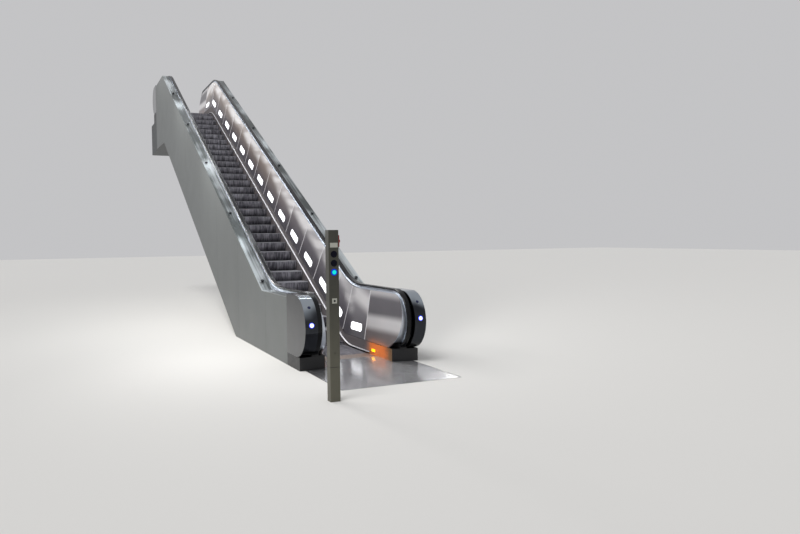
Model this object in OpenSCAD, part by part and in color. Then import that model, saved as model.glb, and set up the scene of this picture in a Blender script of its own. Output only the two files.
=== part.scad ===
// Escalator for a low ceiling hall, with panelled balustrades of sheet steel.
// X runs along the travel and climbs, Y points left when looking up, Z is up.
// The origin lies under the lower bend, on the underside of the landing frame.

/* [Travel] */
// Height from the lower treads to the upper treads
rise = 5570; // [4000:10:8000]
// Slope of the step band in degrees
slope = 27.3; // [25:0.1:32]
// Lower treads above the underside of the lower landing frame
tread_level = 300; // [290:1:340]
// Extra reach of the upper landing beyond a mirror image of the lower one
upper_shift = 280; // [200:10:400]

/* [Step band] */
// Width of a step
step_w = 1000; // [800:10:1000]
// Distance from one nosing to the next along the slope
step_pitch = 405; // [404:0.5:407]
// Gap between a tread and the riser behind it
step_gap = 5; // [4:0.5:6]
// Thickness of a tread
tread_t = 14; // [10:1:18]
// Thickness of a riser
riser_t = 8; // [5:1:10]
// Arc of a riser in degrees
riser_arc = 30; // [28:0.5:31]
// First nosing before the start of the lower bend
first_nosing = 850; // [840:1:860]
// Radius of the lower bend of the step path
bend_low_r = 1300; // [1200:50:1500]
// Radius of the upper bend of the step path
bend_up_r = 1500; // [1400:50:1700]
// Radius of a step wheel
wheel_r = 38; // [34:1:38]
// Width of a step wheel
wheel_w = 25; // [20:1:26]
// Wheel axles below the tread
wheel_drop = 190; // [188:1:192]
// Front wheel axle behind the nosing
front_wheel_x = 100; // [98:1:110]
// Rear wheel axle behind the nosing
rear_wheel_x = 340; // [330:1:350]
// Radius of a wheel axle
axle_r = 11; // [8:1:14]
// Thickness of the side frame of a step
cheek_t = 11; // [8:1:14]
// Side frame to step edge
cheek_inset = 47; // [44:1:50]
// Wheel to side frame
wheel_gap = 2; // [1:0.5:3]
// Thickness of a wheel track
track_t = 20; // [12:1:24]
// Running play under a wheel
track_play = 0.3; // [0.2:0.1:0.5]

/* [Cleats and combs] */
// Cleats across a tread
cleat_count = 110; // [100:1:116]
// Width of a cleat at its top
cleat_top = 3; // [2.5:0.1:3.2]
// Width of a cleat at its foot
cleat_foot = 3.6; // [3.2:0.1:4]
// Depth of the grooves
groove_d = 10; // [9:0.5:11]
// Segments in a comb
comb_segment_count = 5; // [4:1:6]
// Width of a comb tooth
tooth_w = 3; // [2.6:0.1:3.2]
// Length of the comb teeth
tooth_len = 42; // [36:1:50]
// Reach of the teeth into the grooves
tooth_in = 6; // [4:0.5:7]
// Comb segment above a tread
comb_play = 1.5; // [1:0.1:2]

/* [Skirt and brush] */
// Step edge to skirt
skirt_gap = 4; // [3:0.5:4]
// Thickness of the skirt
skirt_t = 4; // [3:0.5:6]
// Top edge of the skirt above the nosing line
skirt_top = 190; // [185:1:200]
// Bottom edge of the skirt under the landings
skirt_low = 120; // [110:5:130]
// Bottom edge of the skirt under the slope
skirt_slope_low = 260; // [250:5:280]
// End of the skirt before the bend
skirt_end_x = 1830; // [1820:5:1850]
// Brush rail above the landings
brush_h = 30; // [29:1:34]
// Brush rail above the nosing line on the slope
brush_slope_h = 67; // [64:1:72]
// End of the brush rail before the bend
brush_end_x = 1045; // [1000:5:1060]
// Lower bend radius of the brush rail
brush_low_r = 1200; // [1150:10:1250]
// Upper bend radius of the brush rail
brush_up_r = 1600; // [1550:10:1650]
// Hairline joint between rolled lengths
hair = 0.2; // [0.1:0.05:0.4]
// Reach of the brush rail over the steps
brush_reach = 20; // [16:1:24]
// Height of the brush rail
brush_t = 12; // [10:1:14]
// Length of the bristles below the rail
bristle_len = 20; // [14:1:21]
// Width of the row of bristles
bristle_w = 7; // [5:1:9]

/* [Inner panels] */
// Thickness of a panel
panel_t = 20; // [15:1:22]
// Panel foot out from the middle
panel_foot_y = 510; // [509:1:515]
// Panel head out from the middle
panel_head_y = 625; // [615:1:635]
// Top edge of the panels above the nosing line
panel_top = 965; // [940:5:985]
// Seam between skirt and panel
panel_seam = 4; // [2:1:6]
// Length of a panel on the slope
panel_len = 963.8; // [900:0.1:1000]
// First panel joint on the slope, from the bend
first_joint = 923; // [900:1:960]
// Joint of the landing panels before the bend
landing_joint_x = 820; // [800:5:840]
// Open joint between two panels
panel_gap = 1.6; // [1:0.2:3]
// Height at which the leaning joint at the lower bend crosses the bend
low_joint_h = 720; // [680:10:760]
// Height at which the leaning joint at the upper bend crosses the bend
up_joint_h = 300; // [260:10:340]

/* [Panel lights] */
// Length of a light
light_l = 450; // [400:5:480]
// Height of a light
light_h = 125; // [100:1:140]
// Corner radius of a light
light_r = 45; // [30:1:49]
// Play between a light and its cut-out
light_play = 0.4; // [0.3:0.1:1]
// Flange behind the panel
light_rim = 12; // [8:1:16]
// Thickness of that flange
light_rim_t = 4; // [3:0.5:6]
// Middle of the first light on the slope, from the bend
first_light = 640; // [600:5:660]
// Middle of a slope light above the nosing line
light_mid = 365; // [340:1:400]
// Middle of the landing light before the bend
landing_light_x = 430; // [400:5:440]
// Middle of the landing light above the floor
landing_light_mid = 357; // [340:1:400]

/* [Handrail] */
// Width of the handrail
rail_w = 80; // [76:1:82]
// Height of the handrail
rail_t = 32; // [30:1:34]
// Wall of the handrail
rail_wall = 12; // [9:0.5:13]
// Lip of the handrail
rail_lip = 4; // [3:0.5:5]
// Corner radius of the handrail
rail_round = 13; // [8:1:14]
// Middle of the handrail out from the middle of the steps
rail_y = 665; // [660:1:668]
// Middle of the handrail above the nosing line
rail_h = 1024; // [1020:1:1030]
// Bend radius of the handrail and of the panels under it
rail_bend_r = 1650; // [1400:50:1750]
// Play between handrail and guide
rail_play = 0.4; // [0.3:0.1:0.6]
// Thickness of the web under the handrail
web_t = 30; // [20:1:30]
// Height of the guide foot
foot_t = 6; // [4:0.5:8]

/* [Newel] */
// Newel centre before the bend
newel_x = 1660; // [1640:5:1680]
// Newel centre above the treads
newel_h = 600; // [595:1:605]
// Arc of the handrail round the newel in degrees
newel_arc = 150; // [148:1:152]
// Foot of the end panel before the bend
end_foot_x = 1712; // [1705:1:1720]
// Radius of the newel hood
hood_r = 415; // [405:1:420]
// Hood centre before the bend
hood_x = 1751; // [1740:1:1765]
// Hood centre above the treads
hood_h = 603; // [600:1:610]
// Inner end of the hood
hood_end_x = 1340; // [1335:1:1345]
// Front of the base at the skirt
base_front_x = 1830; // [1825:1:1832]
// Front of the base at the outside
base_corner_x = 1899; // [1890:1:1899]
// That corner in from the outer edge
base_corner_in = 45; // [35:5:55]
// Back of the handrail inlet
inlet_back_x = 1600; // [1580:5:1620]
// Diameter of the lamp in the hood
hood_lamp_d = 70; // [60:1:80]
// Angle of the hood lamp above the horizontal
hood_lamp_angle = 6.5; // [4:0.5:10]
// Diameter of the upper lens in the hood
hood_lens_d = 44; // [36:1:50]
// Angle of the upper lens above the horizontal
hood_lens_angle = 41; // [38:1:45]

/* [Outer deck and cladding] */
// Half width over all
half_w = 885; // [875:1:895]
// Inner edge of the outer deck
deck_in_y = 712; // [708:1:716]
// Thickness of the outer deck
deck_t = 10; // [6:1:12]
// Thickness of the side cladding
clad_t = 10; // [5:1:12]
// Thickness of the soffit plate
soffit_t = 10; // [5:1:12]
// Underside of the soffit below the nosing line, square to the slope
truss_d = 850; // [820:5:950]
// Lengths of deck and cladding along the slope
deck_count = 4; // [2:1:6]
// Open joint between lengths of deck or cladding
deck_gap = 0.6; // [0.4:0.1:0.8]
// Diameter of a deck knob
knob_d = 60; // [50:1:70]
// Height of a deck knob
knob_t = 25; // [20:1:35]
// Deck knobs in from the outer edge
knob_in = 74; // [60:1:90]
// First deck knob from the bend
first_knob = 706; // [650:1:760]
// Distance between deck knobs
knob_pitch = 2540; // [2400:10:2600]

/* [Landing] */
// Floor plates above the treads
floor_up = 12; // [10:1:14]
// Thickness of a floor plate
floor_t = 30; // [25:1:34]
// Front edge of the floor plates
floor_front_x = 3240; // [3200:10:3300]
// Inner edge of the floor plates
floor_back_x = 1300; // [1290:5:1310]
// Half width of the front floor plates
floor_half_w = 800; // [780:5:810]
// Back edge of the wide floor plates
floor_wide_x = 1910; // [1906:1:1915]
// Comb line before the bend
comb_x = 930; // [925:1:935]
// Length of the comb segments
comb_len = 70; // [60:5:80]
// Thickness of the comb plate
comb_t = 8; // [6:1:8]
// Thickness of the landing frame plates
frame_t = 10; // [8:1:12]
// Depth of a floor bearer
bearer_d = 80; // [60:5:90]
// Width of a floor bearer
bearer_w = 60; // [40:5:70]
// Play round a floor plate
floor_play = 0.4; // [0.3:0.1:0.8]
// Reach of the bearing angle at the upper end
bearing_reach = 120; // [100:5:150]
// Thickness of the bearing angle
bearing_t = 14; // [10:1:18]
// Seat of the bearing angle below the upper treads
bearing_seat = 150; // [120:5:180]

/* [Skirt light] */
// Length of the cover of the skirt light
glow_cover_l = 340; // [320:5:360]
// Height of that cover
glow_cover_h = 60; // [50:1:70]
// Thickness of that cover
glow_cover_t = 2; // [1:0.5:2.5]
// Middle of the cover before the bend
glow_cover_x = 1196; // [1190:1:1220]
// Length of the lens
glow_l = 120; // [90:5:140]
// Height of the lens
glow_h = 34; // [25:1:40]
// Middle of the lens before the bend
glow_x = 1179; // [1170:1:1190]
// Middle of the lens above the treads
glow_mid = 78; // [75:1:95]

/* [Signal post] */
// Width of the post
post_w = 115; // [90:5:130]
// Edge radius of the post
post_r = 10; // [6:1:16]
// Wall of the post
post_wall = 4; // [3:0.5:6]
// Top of the post above the treads
post_top = 1876; // [1850:1:1900]
// Front of the post before the bend
post_x = 3737; // [3700:1:3800]
// Middle of the post out from the middle of the steps
post_y = 1067; // [1050:1:1090]
// Diameter of a signal lamp
lamp_d = 72; // [60:1:80]
// Lamp standing proud of the post
lamp_out = 6; // [4:1:9]
// Lowest lamp above the treads
lamp_low = 1421; // [1400:1:1440]
// Distance between lamps
lamp_pitch = 97.5; // [90:0.5:105]
// Plain plate above the lamps
plate_mid = 1713; // [1700:1:1730]
// Height of that plate
plate_h = 50; // [40:1:60]
// Key switch above the treads
key_mid = 1111; // [1080:1:1140]
// Size of the key switch plate
key_w = 55; // [45:1:65]
// Slot above the treads
slot_mid = 543; // [520:1:560]
// Stop button above the treads
stop_mid = 1756; // [1740:1:1770]
// Diameter of the stop button
stop_d = 44; // [36:1:50]
// Height of the housing of the stop button
stop_h = 130; // [120:5:140]
// Width of that housing
stop_w = 70; // [60:5:80]
// Depth of that housing
stop_out = 16; // [10:1:20]
// Size of the foot of the post
post_foot_w = 180; // [160:5:220]
// Thickness of that foot
post_foot_t = 12; // [8:1:16]

/* [Hidden] */
$fn = 64;
far = 30000;
s = sin(slope);
c = cos(slope);
t = tan(slope);
half_tan = tan(slope / 2);
run = rise / t;
slope_len = rise / s;
skirt_y = step_w / 2 + skirt_gap;
skirt_back_y = skirt_y + skirt_t;
truss_low = truss_d / c;
clad_in_y = half_w - clad_t;
tread_d = step_pitch - step_gap;
upper_x = run + upper_shift;
soffit_x = (truss_low - tread_level) / t;
front_x = floor_front_x + frame_t;
shoulder_x = floor_wide_x - 5;

// Step path: a flat, a bend, the slope, a bend and a flat, by distance from the start of the lower bend
low_tan = bend_low_r * half_tan;
up_tan = bend_up_r * half_tan;
low_arc = bend_low_r * slope * PI / 180;
up_arc = bend_up_r * slope * PI / 180;
mid_len = slope_len - low_tan - up_tan;
function low_bend(a) = [-low_tan + bend_low_r * sin(a), bend_low_r * (1 - cos(a))];
function up_bend(a) = [run + up_tan - bend_up_r * sin(a), rise - bend_up_r * (1 - cos(a))];
function path(d) =
    d < 0 ? [-low_tan + d, 0] :
    d < low_arc ? low_bend(d / bend_low_r * 180 / PI) :
    d < low_arc + mid_len ? low_bend(slope) + (d - low_arc) * [c, s] :
    d < low_arc + mid_len + up_arc ? up_bend(slope - (d - low_arc - mid_len) / bend_up_r * 180 / PI) :
    [run + up_tan + d - low_arc - mid_len - up_arc, rise];
last_nosing = low_arc + mid_len + up_arc + upper_x + comb_x - run - up_tan;
step_count = floor((last_nosing + first_nosing) / step_pitch) + 1;
nosings = [for (i = [0:step_count - 1]) path(step_pitch * i - first_nosing)];

// Heights of straight lines above the nosing line, flat over both landings
function clamp(v, lo, hi) = min(max(v, lo), hi);
function line(x, h) = clamp(x * t, 0, rise) + h;
function skirt_low_line(x) = clamp(x * t - skirt_slope_low, -skirt_low, rise - skirt_low);
skirt_low_bend = (skirt_slope_low - skirt_low) / t;

// Section of the leaning inner panels
lean = (panel_head_y - panel_foot_y) / (panel_top - skirt_top);
function panel_y(h) = panel_foot_y + (h - skirt_top) * lean;
function panel_back(h, k) = panel_y(h) + panel_t / cos(atan(lean / k));
panel_low = skirt_top + panel_seam;
joints = [for (u = [first_joint:panel_len:slope_len]) u];
lights = [first_light, for (u = [first_joint + panel_len / 2:panel_len:slope_len]) u];
knobs = [for (u = [first_knob:knob_pitch:slope_len]) u];

// Line over both flats and the slope at one height above the nosing line, rounded at the bends
bend_steps = 12;
rail_tan = rail_bend_r * half_tan;
function low_turn(a) = [-rail_tan + rail_bend_r * sin(a), rail_bend_r * (1 - cos(a))];
function up_turn(a) = [run + rail_tan - rail_bend_r * sin(a), rise - rail_bend_r * (1 - cos(a))];
function bent(h, x0, x1) = [
    [x0, h], for (i = [0:bend_steps]) low_turn(slope * i / bend_steps) + [0, h],
    for (i = [bend_steps:-1:0]) up_turn(slope * i / bend_steps) + [0, h], [x1, rise + h]
];
function turned(v) = [for (i = [len(v) - 1:-1:0]) v[i]];

// Wheel tracks: height under the flats, and above the nosing line on the slope
track_flat = -wheel_drop - wheel_r - track_play;
function track_slope(x) = -wheel_drop - x * t - (wheel_r + track_play) / c;
cheek_y = step_w / 2 - cheek_inset;
front_track_y = cheek_y + wheel_gap / 2;
rear_track_y = cheek_y - cheek_t - wheel_gap - wheel_w;

// Places an upright outline, drawn as [along, height], between two distances from the middle
module upright(y0, y1) {
    translate([0, y1, tread_level]) rotate([90, 0, 0]) linear_extrude(y1 - y0) children();
}

// Outline between two lines over the stations given
module strip(xs, lo, hi) {
    polygon([for (x = xs) [x, lo(x)], for (i = [len(xs) - 1:-1:0]) [xs[i], hi(xs[i])]]);
}

// Turns the along axis up the slope, from the lower bend
module on_slope() {
    translate([0, 0, tread_level]) rotate([0, -slope, 0]) children();
}

// Extrudes a cross-section, drawn as [height, across], from x0 to x1
module along(x0, x1) {
    translate([x1, 0, 0]) rotate([0, -90, 0]) linear_extrude(x1 - x0) children();
}

// Turns a cross-section, drawn as [height, across], round a level axis at x and z
module round_axis(x, z, start, angle) {
    translate([x, 0, tread_level + z]) rotate([90, 0, 0])
        rotate_extrude(start = start, angle = angle) children();
}

// The upper landing is the lower one turned about and raised
module at_upper() {
    translate([upper_x, 0, rise]) mirror([1, 0, 0]) children();
}

module at_both() {
    children();
    at_upper() children();
}

// Runs a cross-section up the whole escalator, level at flat_h and slope_h above the nosing line
module run_up(flat_h, slope_h, low_r, up_r, x0, x1) {
    corner = (flat_h - slope_h) / t;
    low_t = low_r * half_tan;
    up_t = up_r * half_tan;
    corner_u = corner * c + flat_h * s;
    translate([0, 0, tread_level + flat_h]) along(x0, corner - low_t - hair) children();
    round_axis(corner - low_t, flat_h + low_r, -90, slope)
        translate([low_r, 0]) rotate(180) children();
    on_slope() translate([0, 0, slope_h * c])
        along(corner_u + low_t + hair, slope_len + corner_u - up_t - hair) children();
    round_axis(run + corner + up_t, rise + flat_h - up_r, 90, slope)
        translate([up_r, 0]) mirror([0, 1]) children();
    translate([0, 0, tread_level + rise + flat_h]) along(run + corner + up_t + hair, x1) children();
}

module rounded(l, h, r) {
    square([l - 2 * r, h], center = true);
    square([l, h - 2 * r], center = true);
    for (x = [-1, 1], y = [-1, 1]) translate([x * (l / 2 - r), y * (h / 2 - r)]) circle(r);
}

// Landing frames and floor

module landing_frame(depth, back) {
    low = tread_level - depth;
    top = tread_level + floor_up;
    translate([-front_x, -floor_half_w - frame_t, low])
        cube([front_x - shoulder_x, 2 * (floor_half_w + frame_t), frame_t]);
    translate([-shoulder_x, -half_w, low]) cube([shoulder_x - hood_end_x, 2 * half_w, frame_t]);
    translate([-hood_end_x, -clad_in_y, low]) cube([hood_end_x + back, 2 * clad_in_y, frame_t]);
    translate([-front_x, -floor_half_w, low]) cube([frame_t, 2 * floor_half_w, top - low]);
    for (m = [0, 1]) mirror([0, m, 0]) {
        translate([-front_x, floor_half_w, low]) cube([front_x - shoulder_x, frame_t, top - low]);
        translate([-shoulder_x, floor_half_w, low]) cube([frame_t, half_w - floor_half_w, top - low]);
        translate([-shoulder_x, clad_in_y, low]) cube([shoulder_x - hood_end_x, clad_t, top - low]);
        translate([-shoulder_x, skirt_back_y, top - frame_t])
            cube([shoulder_x - hood_end_x, half_w - skirt_back_y, frame_t]);
    }
    for (x = [(floor_front_x + floor_wide_x) / 2, floor_wide_x])
        translate([-x - bearer_w / 2, -floor_half_w, top - floor_t - bearer_d])
            cube([bearer_w, 2 * floor_half_w, bearer_d]);
    inner_top = tread_level - skirt_low;
    translate([-floor_back_x - bearer_w / 2, -clad_in_y, inner_top - bearer_d])
        cube([bearer_w, 2 * clad_in_y, bearer_d]);
    translate([-floor_back_x - frame_t, -skirt_y + 1, inner_top - 1])
        cube([frame_t, 2 * skirt_y - 2, top - floor_t - inner_top + 1]);
    translate([-floor_back_x, -skirt_y + 1, inner_top - 1])
        cube([frame_t, 2 * skirt_y - 2, top - comb_t - inner_top + 1]);
}

module landing_frame_lower() color("dimgray") landing_frame(tread_level, soffit_x);
module landing_frame_upper() color("dimgray") at_upper() landing_frame(truss_low, upper_shift);

module bearing_angle() color("slategray") at_upper() {
    translate([-front_x - bearing_t, -floor_half_w, tread_level - bearing_seat])
        cube([bearing_t, 2 * floor_half_w, bearing_reach]);
    translate([-front_x - bearing_reach, -floor_half_w, tread_level - bearing_seat])
        cube([bearing_reach, 2 * floor_half_w, bearing_t]);
}

module floor_plate(x0, x1, half) {
    translate([-x0 + floor_play, -half + floor_play, tread_level + floor_up - floor_t])
        cube([x0 - x1 - 2 * floor_play, 2 * (half - floor_play), floor_t]);
}

module floor_plates() {
    middle = (floor_front_x + floor_wide_x) / 2;
    floor_plate(floor_front_x, middle, floor_half_w);
    floor_plate(middle, floor_wide_x, floor_half_w);
    floor_plate(floor_wide_x, floor_back_x, skirt_y);
}

module floor_plates_lower() color("silver") floor_plates();
module floor_plates_upper() color("silver") at_upper() floor_plates();

module comb_plate() {
    half = skirt_y - floor_play;
    upright(-half, half) polygon([
        [-floor_back_x, floor_up - comb_t], [-comb_x - comb_len, floor_up - comb_t],
        [-comb_x - comb_len, floor_up - 1], [-floor_back_x, floor_up]
    ]);
}

module comb_plate_lower() color("rosybrown") comb_plate();
module comb_plate_upper() color("rosybrown") at_upper() comb_plate();

// Cast segments side by side; their joints lie over a cleat
module comb_segments() {
    root = comb_x + comb_len;
    tooth_root = comb_x + tooth_len;
    tooth_top = comb_play + comb_t - 2;
    each_count = cleat_count / comb_segment_count;
    for (k = [0:comb_segment_count - 1]) {
        first = floor(k * each_count) + 1;
        last = floor((k + 1) * each_count);
        y0 = k == 0 ? -step_w / 2 : groove_y(first - 0.5) + hair / 2;
        y1 = k == comb_segment_count - 1 ? step_w / 2 : groove_y(last + 0.5) - hair / 2;
        upright(y0, y1) polygon([
            [-root, floor_up - comb_t], [-tooth_root, comb_play],
            [-tooth_root, tooth_top], [-root, floor_up - 1]
        ]);
        for (i = [first:last]) if (i < cleat_count)
            upright(groove_y(i) - tooth_w / 2, groove_y(i) + tooth_w / 2) polygon([
                [-tooth_root - 1, comb_play + 0.5], [-tooth_root + 6, -tooth_in], [-comb_x - 1, -tooth_in],
                [-comb_x, 1 - tooth_in], [-comb_x, 3 - tooth_in], [-comb_x - 3, 5 - tooth_in],
                [-tooth_root, tooth_top], [-tooth_root - 1, tooth_top]
            ]);
    }
}

module comb_segments_lower() color("tan") comb_segments();
module comb_segments_upper() color("tan") at_upper() comb_segments();

// Step band

// Middle of a groove across the treads; the outermost two are open to the sides
function groove_y(i) = step_w * (i / cleat_count - 0.5);

module tread_section() polygon([
    [-groove_d, -step_w / 2], [-tread_t, -step_w / 2], [-tread_t, step_w / 2], [-groove_d, step_w / 2],
    for (i = [cleat_count - 1:-1:0]) let (y = groove_y(i + 0.5)) each [
        [-groove_d, y + cleat_foot / 2], [0, y + cleat_top / 2],
        [0, y - cleat_top / 2], [-groove_d, y - cleat_foot / 2]
    ]
]);

module step_body(cleated) {
    half = step_w / 2;
    top = asin((groove_d + tread_t) / 2 / tread_d);
    if (cleated) along(0, tread_d) tread_section();
    else translate([0, -half, -tread_t]) cube([tread_d, step_w, tread_t]);
    translate([tread_d, 0, 0]) rotate([90, 0, 0]) rotate_extrude(start = 180 + top, angle = riser_arc - top)
        translate([tread_d - riser_t, -half]) square([riser_t, step_w]);
    for (m = [0, 1]) mirror([0, m, 0]) {
        translate([0, cheek_y, 0]) rotate([90, 0, 0]) linear_extrude(cheek_t) polygon([
            [riser_t - 1, -groove_d - 1], [tread_d - riser_t, -groove_d - 1],
            [rear_wheel_x + 20, -wheel_drop - 20],
            [front_wheel_x - 28, -wheel_drop - 20], [front_wheel_x - 42, -wheel_drop + 20]
        ]);
        translate([front_wheel_x, cheek_y - 1, -wheel_drop]) rotate([-90, 0, 0]) {
            cylinder(r = axle_r, h = wheel_gap + wheel_w + 1);
            translate([0, 0, 1 + wheel_gap]) cylinder(r = wheel_r, h = wheel_w);
        }
        translate([rear_wheel_x, cheek_y - cheek_t + 1, -wheel_drop]) rotate([90, 0, 0]) {
            cylinder(r = axle_r, h = wheel_gap + wheel_w + 1);
            translate([0, 0, 1 + wheel_gap]) cylinder(r = wheel_r, h = wheel_w);
        }
    }
}

// The steps that pass a comb have their cleats; the others are closed by a plain tread
cleated_steps = 3;
steps_split = 6;

module steps(first, last) {
    for (i = [first:last]) translate([nosings[i][0], 0, nosings[i][1] + tread_level])
        step_body(i < cleated_steps || i >= step_count - cleated_steps);
}

module steps_lower() color("dimgray") steps(0, steps_split - 1);
module steps_slope() color("dimgray") steps(steps_split, step_count - steps_split - 1);
module steps_upper() color("dimgray") steps(step_count - steps_split, step_count - 1);

module track(wheel_x, y) {
    run_up(track_flat, track_slope(wheel_x), bend_low_r + wheel_r + track_play,
           bend_up_r - wheel_r - track_play, -hood_end_x + frame_t, upper_x + hood_end_x - frame_t)
        translate([-track_t, y]) square([track_t, wheel_w + 4]);
}

module step_tracks() color("gray") for (m = [0, 1]) mirror([0, m, 0]) {
    track(front_wheel_x, front_track_y);
    track(rear_wheel_x, rear_track_y - 2);
}

// Frames across the truss

// Width of the steel left round the openings in a frame
frame_rim = 60;
frame_web = 90;
slot_in_y = panel_head_y + panel_t + frame_rim;
slot_out_y = clad_in_y - frame_rim;

// Frame between the lower bend and the light before it
bend_frame_x = 170;

// Half of a frame, drawn as [height, across]; k is the slope's foreshortening of upright heights
module half_frame(k, low, front_seat, rear_seat) {
    slot_low = skirt_top * k + 120;
    slot_high = panel_top * k - 120;
    difference() {
        polygon([
            [low, 0], [low, clad_in_y], [panel_top * k, clad_in_y], [panel_top * k, panel_back(panel_top, k)],
            [panel_low * k, panel_back(panel_low, k)], [panel_low * k, skirt_back_y],
            [front_seat, skirt_back_y], [front_seat, rear_track_y + wheel_w + 6],
            [rear_seat, rear_track_y + wheel_w + 6], [rear_seat, rear_track_y - 6],
            [rear_seat - 18, rear_track_y - 6], [rear_seat - 18, 0]
        ]);
        translate([slot_low, slot_in_y]) square([slot_high - slot_low, slot_out_y - slot_in_y]);
        if (rear_seat - low > 2 * frame_web)
            translate([low + frame_rim, -1])
                square([rear_seat - low - frame_rim - frame_web, cheek_y - frame_web]);
    }
}

module frame_at(x, k, low, front_seat, rear_seat) {
    along(x, x + frame_t) {
        half_frame(k, low, front_seat, rear_seat);
        mirror([0, 1]) half_frame(k, low, front_seat, rear_seat);
    }
}

module flat_frame(x, low) {
    translate([0, 0, tread_level]) frame_at(x, 1, low, track_flat - track_t, track_flat - track_t);
}

module cross_frames() color("darkslategray") {
    low = frame_t - tread_level;
    for (x = [-hood_end_x, -landing_joint_x - frame_t / 2, -bend_frame_x]) flat_frame(x, low);
    at_upper() for (x = [-hood_end_x, -landing_joint_x - frame_t / 2]) flat_frame(x, frame_t - truss_low);
    translate([run + rail_tan + frame_t, 0, rise]) flat_frame(0, frame_t - truss_low);
    intersection() {
        on_slope() for (u = joints) frame_at(u - frame_t / 2, c, soffit_t - truss_d,
            track_slope(front_wheel_x) * c - track_t, track_slope(rear_wheel_x) * c - track_t);
        translate([0, -half_w, frame_t]) cube([run, 2 * half_w, far]);
    }
}

// Cladding

// Stations of the lengths of deck and cladding over the slope
function lengths(x0, x1) = [for (i = [0:deck_count - 1])
    [x0 + (x1 - x0) * i / deck_count, x0 + (x1 - x0) * (i + 1) / deck_count]];

module soffit() color("lightslategray") for (p = lengths(soffit_x, run))
    upright(-clad_in_y, clad_in_y) strip([p[0], p[1] - deck_gap],
        function(x) line(x, -truss_low), function(x) line(x, -truss_low + soffit_t / c));

module casing_side() {
    low = function(x) max(line(x, -truss_low), -tread_level);
    high = function(x) line(x, panel_top);
    upright(clad_in_y, half_w) {
        for (p = concat([[-hood_end_x, 0], [0, soffit_x]], lengths(soffit_x, run),
                        [[run, upper_x + hood_end_x]]))
            strip([p[0] + deck_gap / 2, p[1] - deck_gap / 2], low, high);
    }
}

module deck_side() {
    low = function(x) line(x, panel_top);
    high = function(x) line(x, panel_top + deck_t);
    upright(deck_in_y, half_w) {
        for (p = concat([[-hood_end_x, 0]], lengths(0, run), [[run, upper_x + hood_end_x]]))
            strip([p[0] + deck_gap / 2, p[1] - deck_gap / 2], low, high);
    }
}

module skirt_side() {
    high = function(x) line(x, skirt_top);
    bends = [skirt_low_bend, run + skirt_low_bend];
    difference() {
        upright(skirt_y, skirt_back_y) {
            for (p = concat([[-skirt_end_x, 0]], lengths(0, run), [[run, upper_x + skirt_end_x]])) {
                x0 = p[0] + deck_gap / 2;
                x1 = p[1] - deck_gap / 2;
                strip([x0, each [for (b = bends) if (b > x0 && b < x1) b], x1],
                    function(x) skirt_low_line(x), high);
            }
        }
        at_both() translate([-glow_x - glow_l / 2 - light_play, skirt_y - 1,
            tread_level + glow_mid - glow_h / 2 - light_play])
            cube([glow_l + 2 * light_play, skirt_t + 2, glow_h + 2 * light_play]);
    }
}

module casing_left() color("lightslategray") casing_side();
module casing_right() color("lightslategray") mirror([0, 1, 0]) casing_side();
module outer_deck_left() color("lightsteelblue") deck_side();
module outer_deck_right() color("lightsteelblue") mirror([0, 1, 0]) deck_side();
module skirt_left() color("darkgray") skirt_side();
module skirt_right() color("darkgray") mirror([0, 1, 0]) skirt_side();

module deck_knobs() color("dimgray") on_slope() for (u = knobs, m = [0, 1]) mirror([0, m, 0])
    translate([u, half_w - knob_in, (panel_top + deck_t) * c]) rotate_extrude() polygon([
        [0, 0], [knob_d * 0.3, 0], [knob_d * 0.3, knob_t * 0.4], [knob_d / 2, knob_t * 0.5],
        [knob_d / 2, knob_t * 0.85], [knob_d * 0.42, knob_t], [0, knob_t]
    ]);

// Brush deflector

module brush_rail_side() run_up(brush_h, brush_slope_h, brush_low_r, brush_up_r,
    -brush_end_x, upper_x + brush_end_x)
    polygon([
        [0, skirt_y - brush_reach], [0, skirt_y], [brush_t + 4, skirt_y],
        [brush_t, skirt_y - brush_reach * 0.6], [brush_t * 0.6, skirt_y - brush_reach]
    ]);

module brush_side() run_up(brush_h, brush_slope_h, brush_low_r, brush_up_r,
    -brush_end_x + 20, upper_x + brush_end_x - 20)
    translate([-bristle_len, skirt_y - brush_reach + 5]) square([bristle_len, bristle_w]);

module brush_rail_left() color("silver") brush_rail_side();
module brush_rail_right() color("silver") mirror([0, 1, 0]) brush_rail_side();
module brush_left() color("black") brush_side();
module brush_right() color("black") mirror([0, 1, 0]) brush_side();

// Inner panels and their lights

// Section drawn long at foot and head, where the outlines trim it
panel_over = 120;
section_foot = panel_low - panel_over;
section_head = panel_top + panel_over;

module panel_section(k) polygon([
    [section_foot * k, panel_y(section_foot)], [section_foot * k, panel_back(section_foot, k)],
    [section_head * k, panel_back(section_head, k)], [section_head * k, panel_y(section_head)]
]);

// Leaning plane of the panel face: along, outward, up the face
module on_panel(k, x, h) {
    tilt = atan(lean / k);
    translate([x, panel_y(h), h * k]) rotate([90 - tilt, 0, 0]) mirror([0, 0, 1]) children();
}

module light_hole(k, x, h) on_panel(k, x, h) translate([0, 0, -30]) linear_extrude(panel_t + 60)
    rounded(light_l, light_h, light_r);

module panel_light(k, x, h) on_panel(k, x, h) {
    play = 2 * light_play;
    linear_extrude(panel_t) rounded(light_l - play, light_h - play, light_r - light_play);
    translate([0, 0, panel_t]) linear_extrude(light_rim_t)
        rounded(light_l + 2 * light_rim, light_h + 2 * light_rim, light_r + light_rim);
}

module slope_panel(u0, u1) {
    on_slope() difference() {
        along(u0 + panel_gap / 2, u1 - panel_gap / 2) panel_section(c);
        for (u = lights) if (u > u0 && u < u1) light_hole(c, u, light_mid);
    }
}

module slope_panels() {
    past = panel_len;
    starts = [-past, each joints];
    ends = [each joints, slope_len + past];
    for (i = [0:len(starts) - 1]) slope_panel(starts[i], ends[i]);
}

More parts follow.
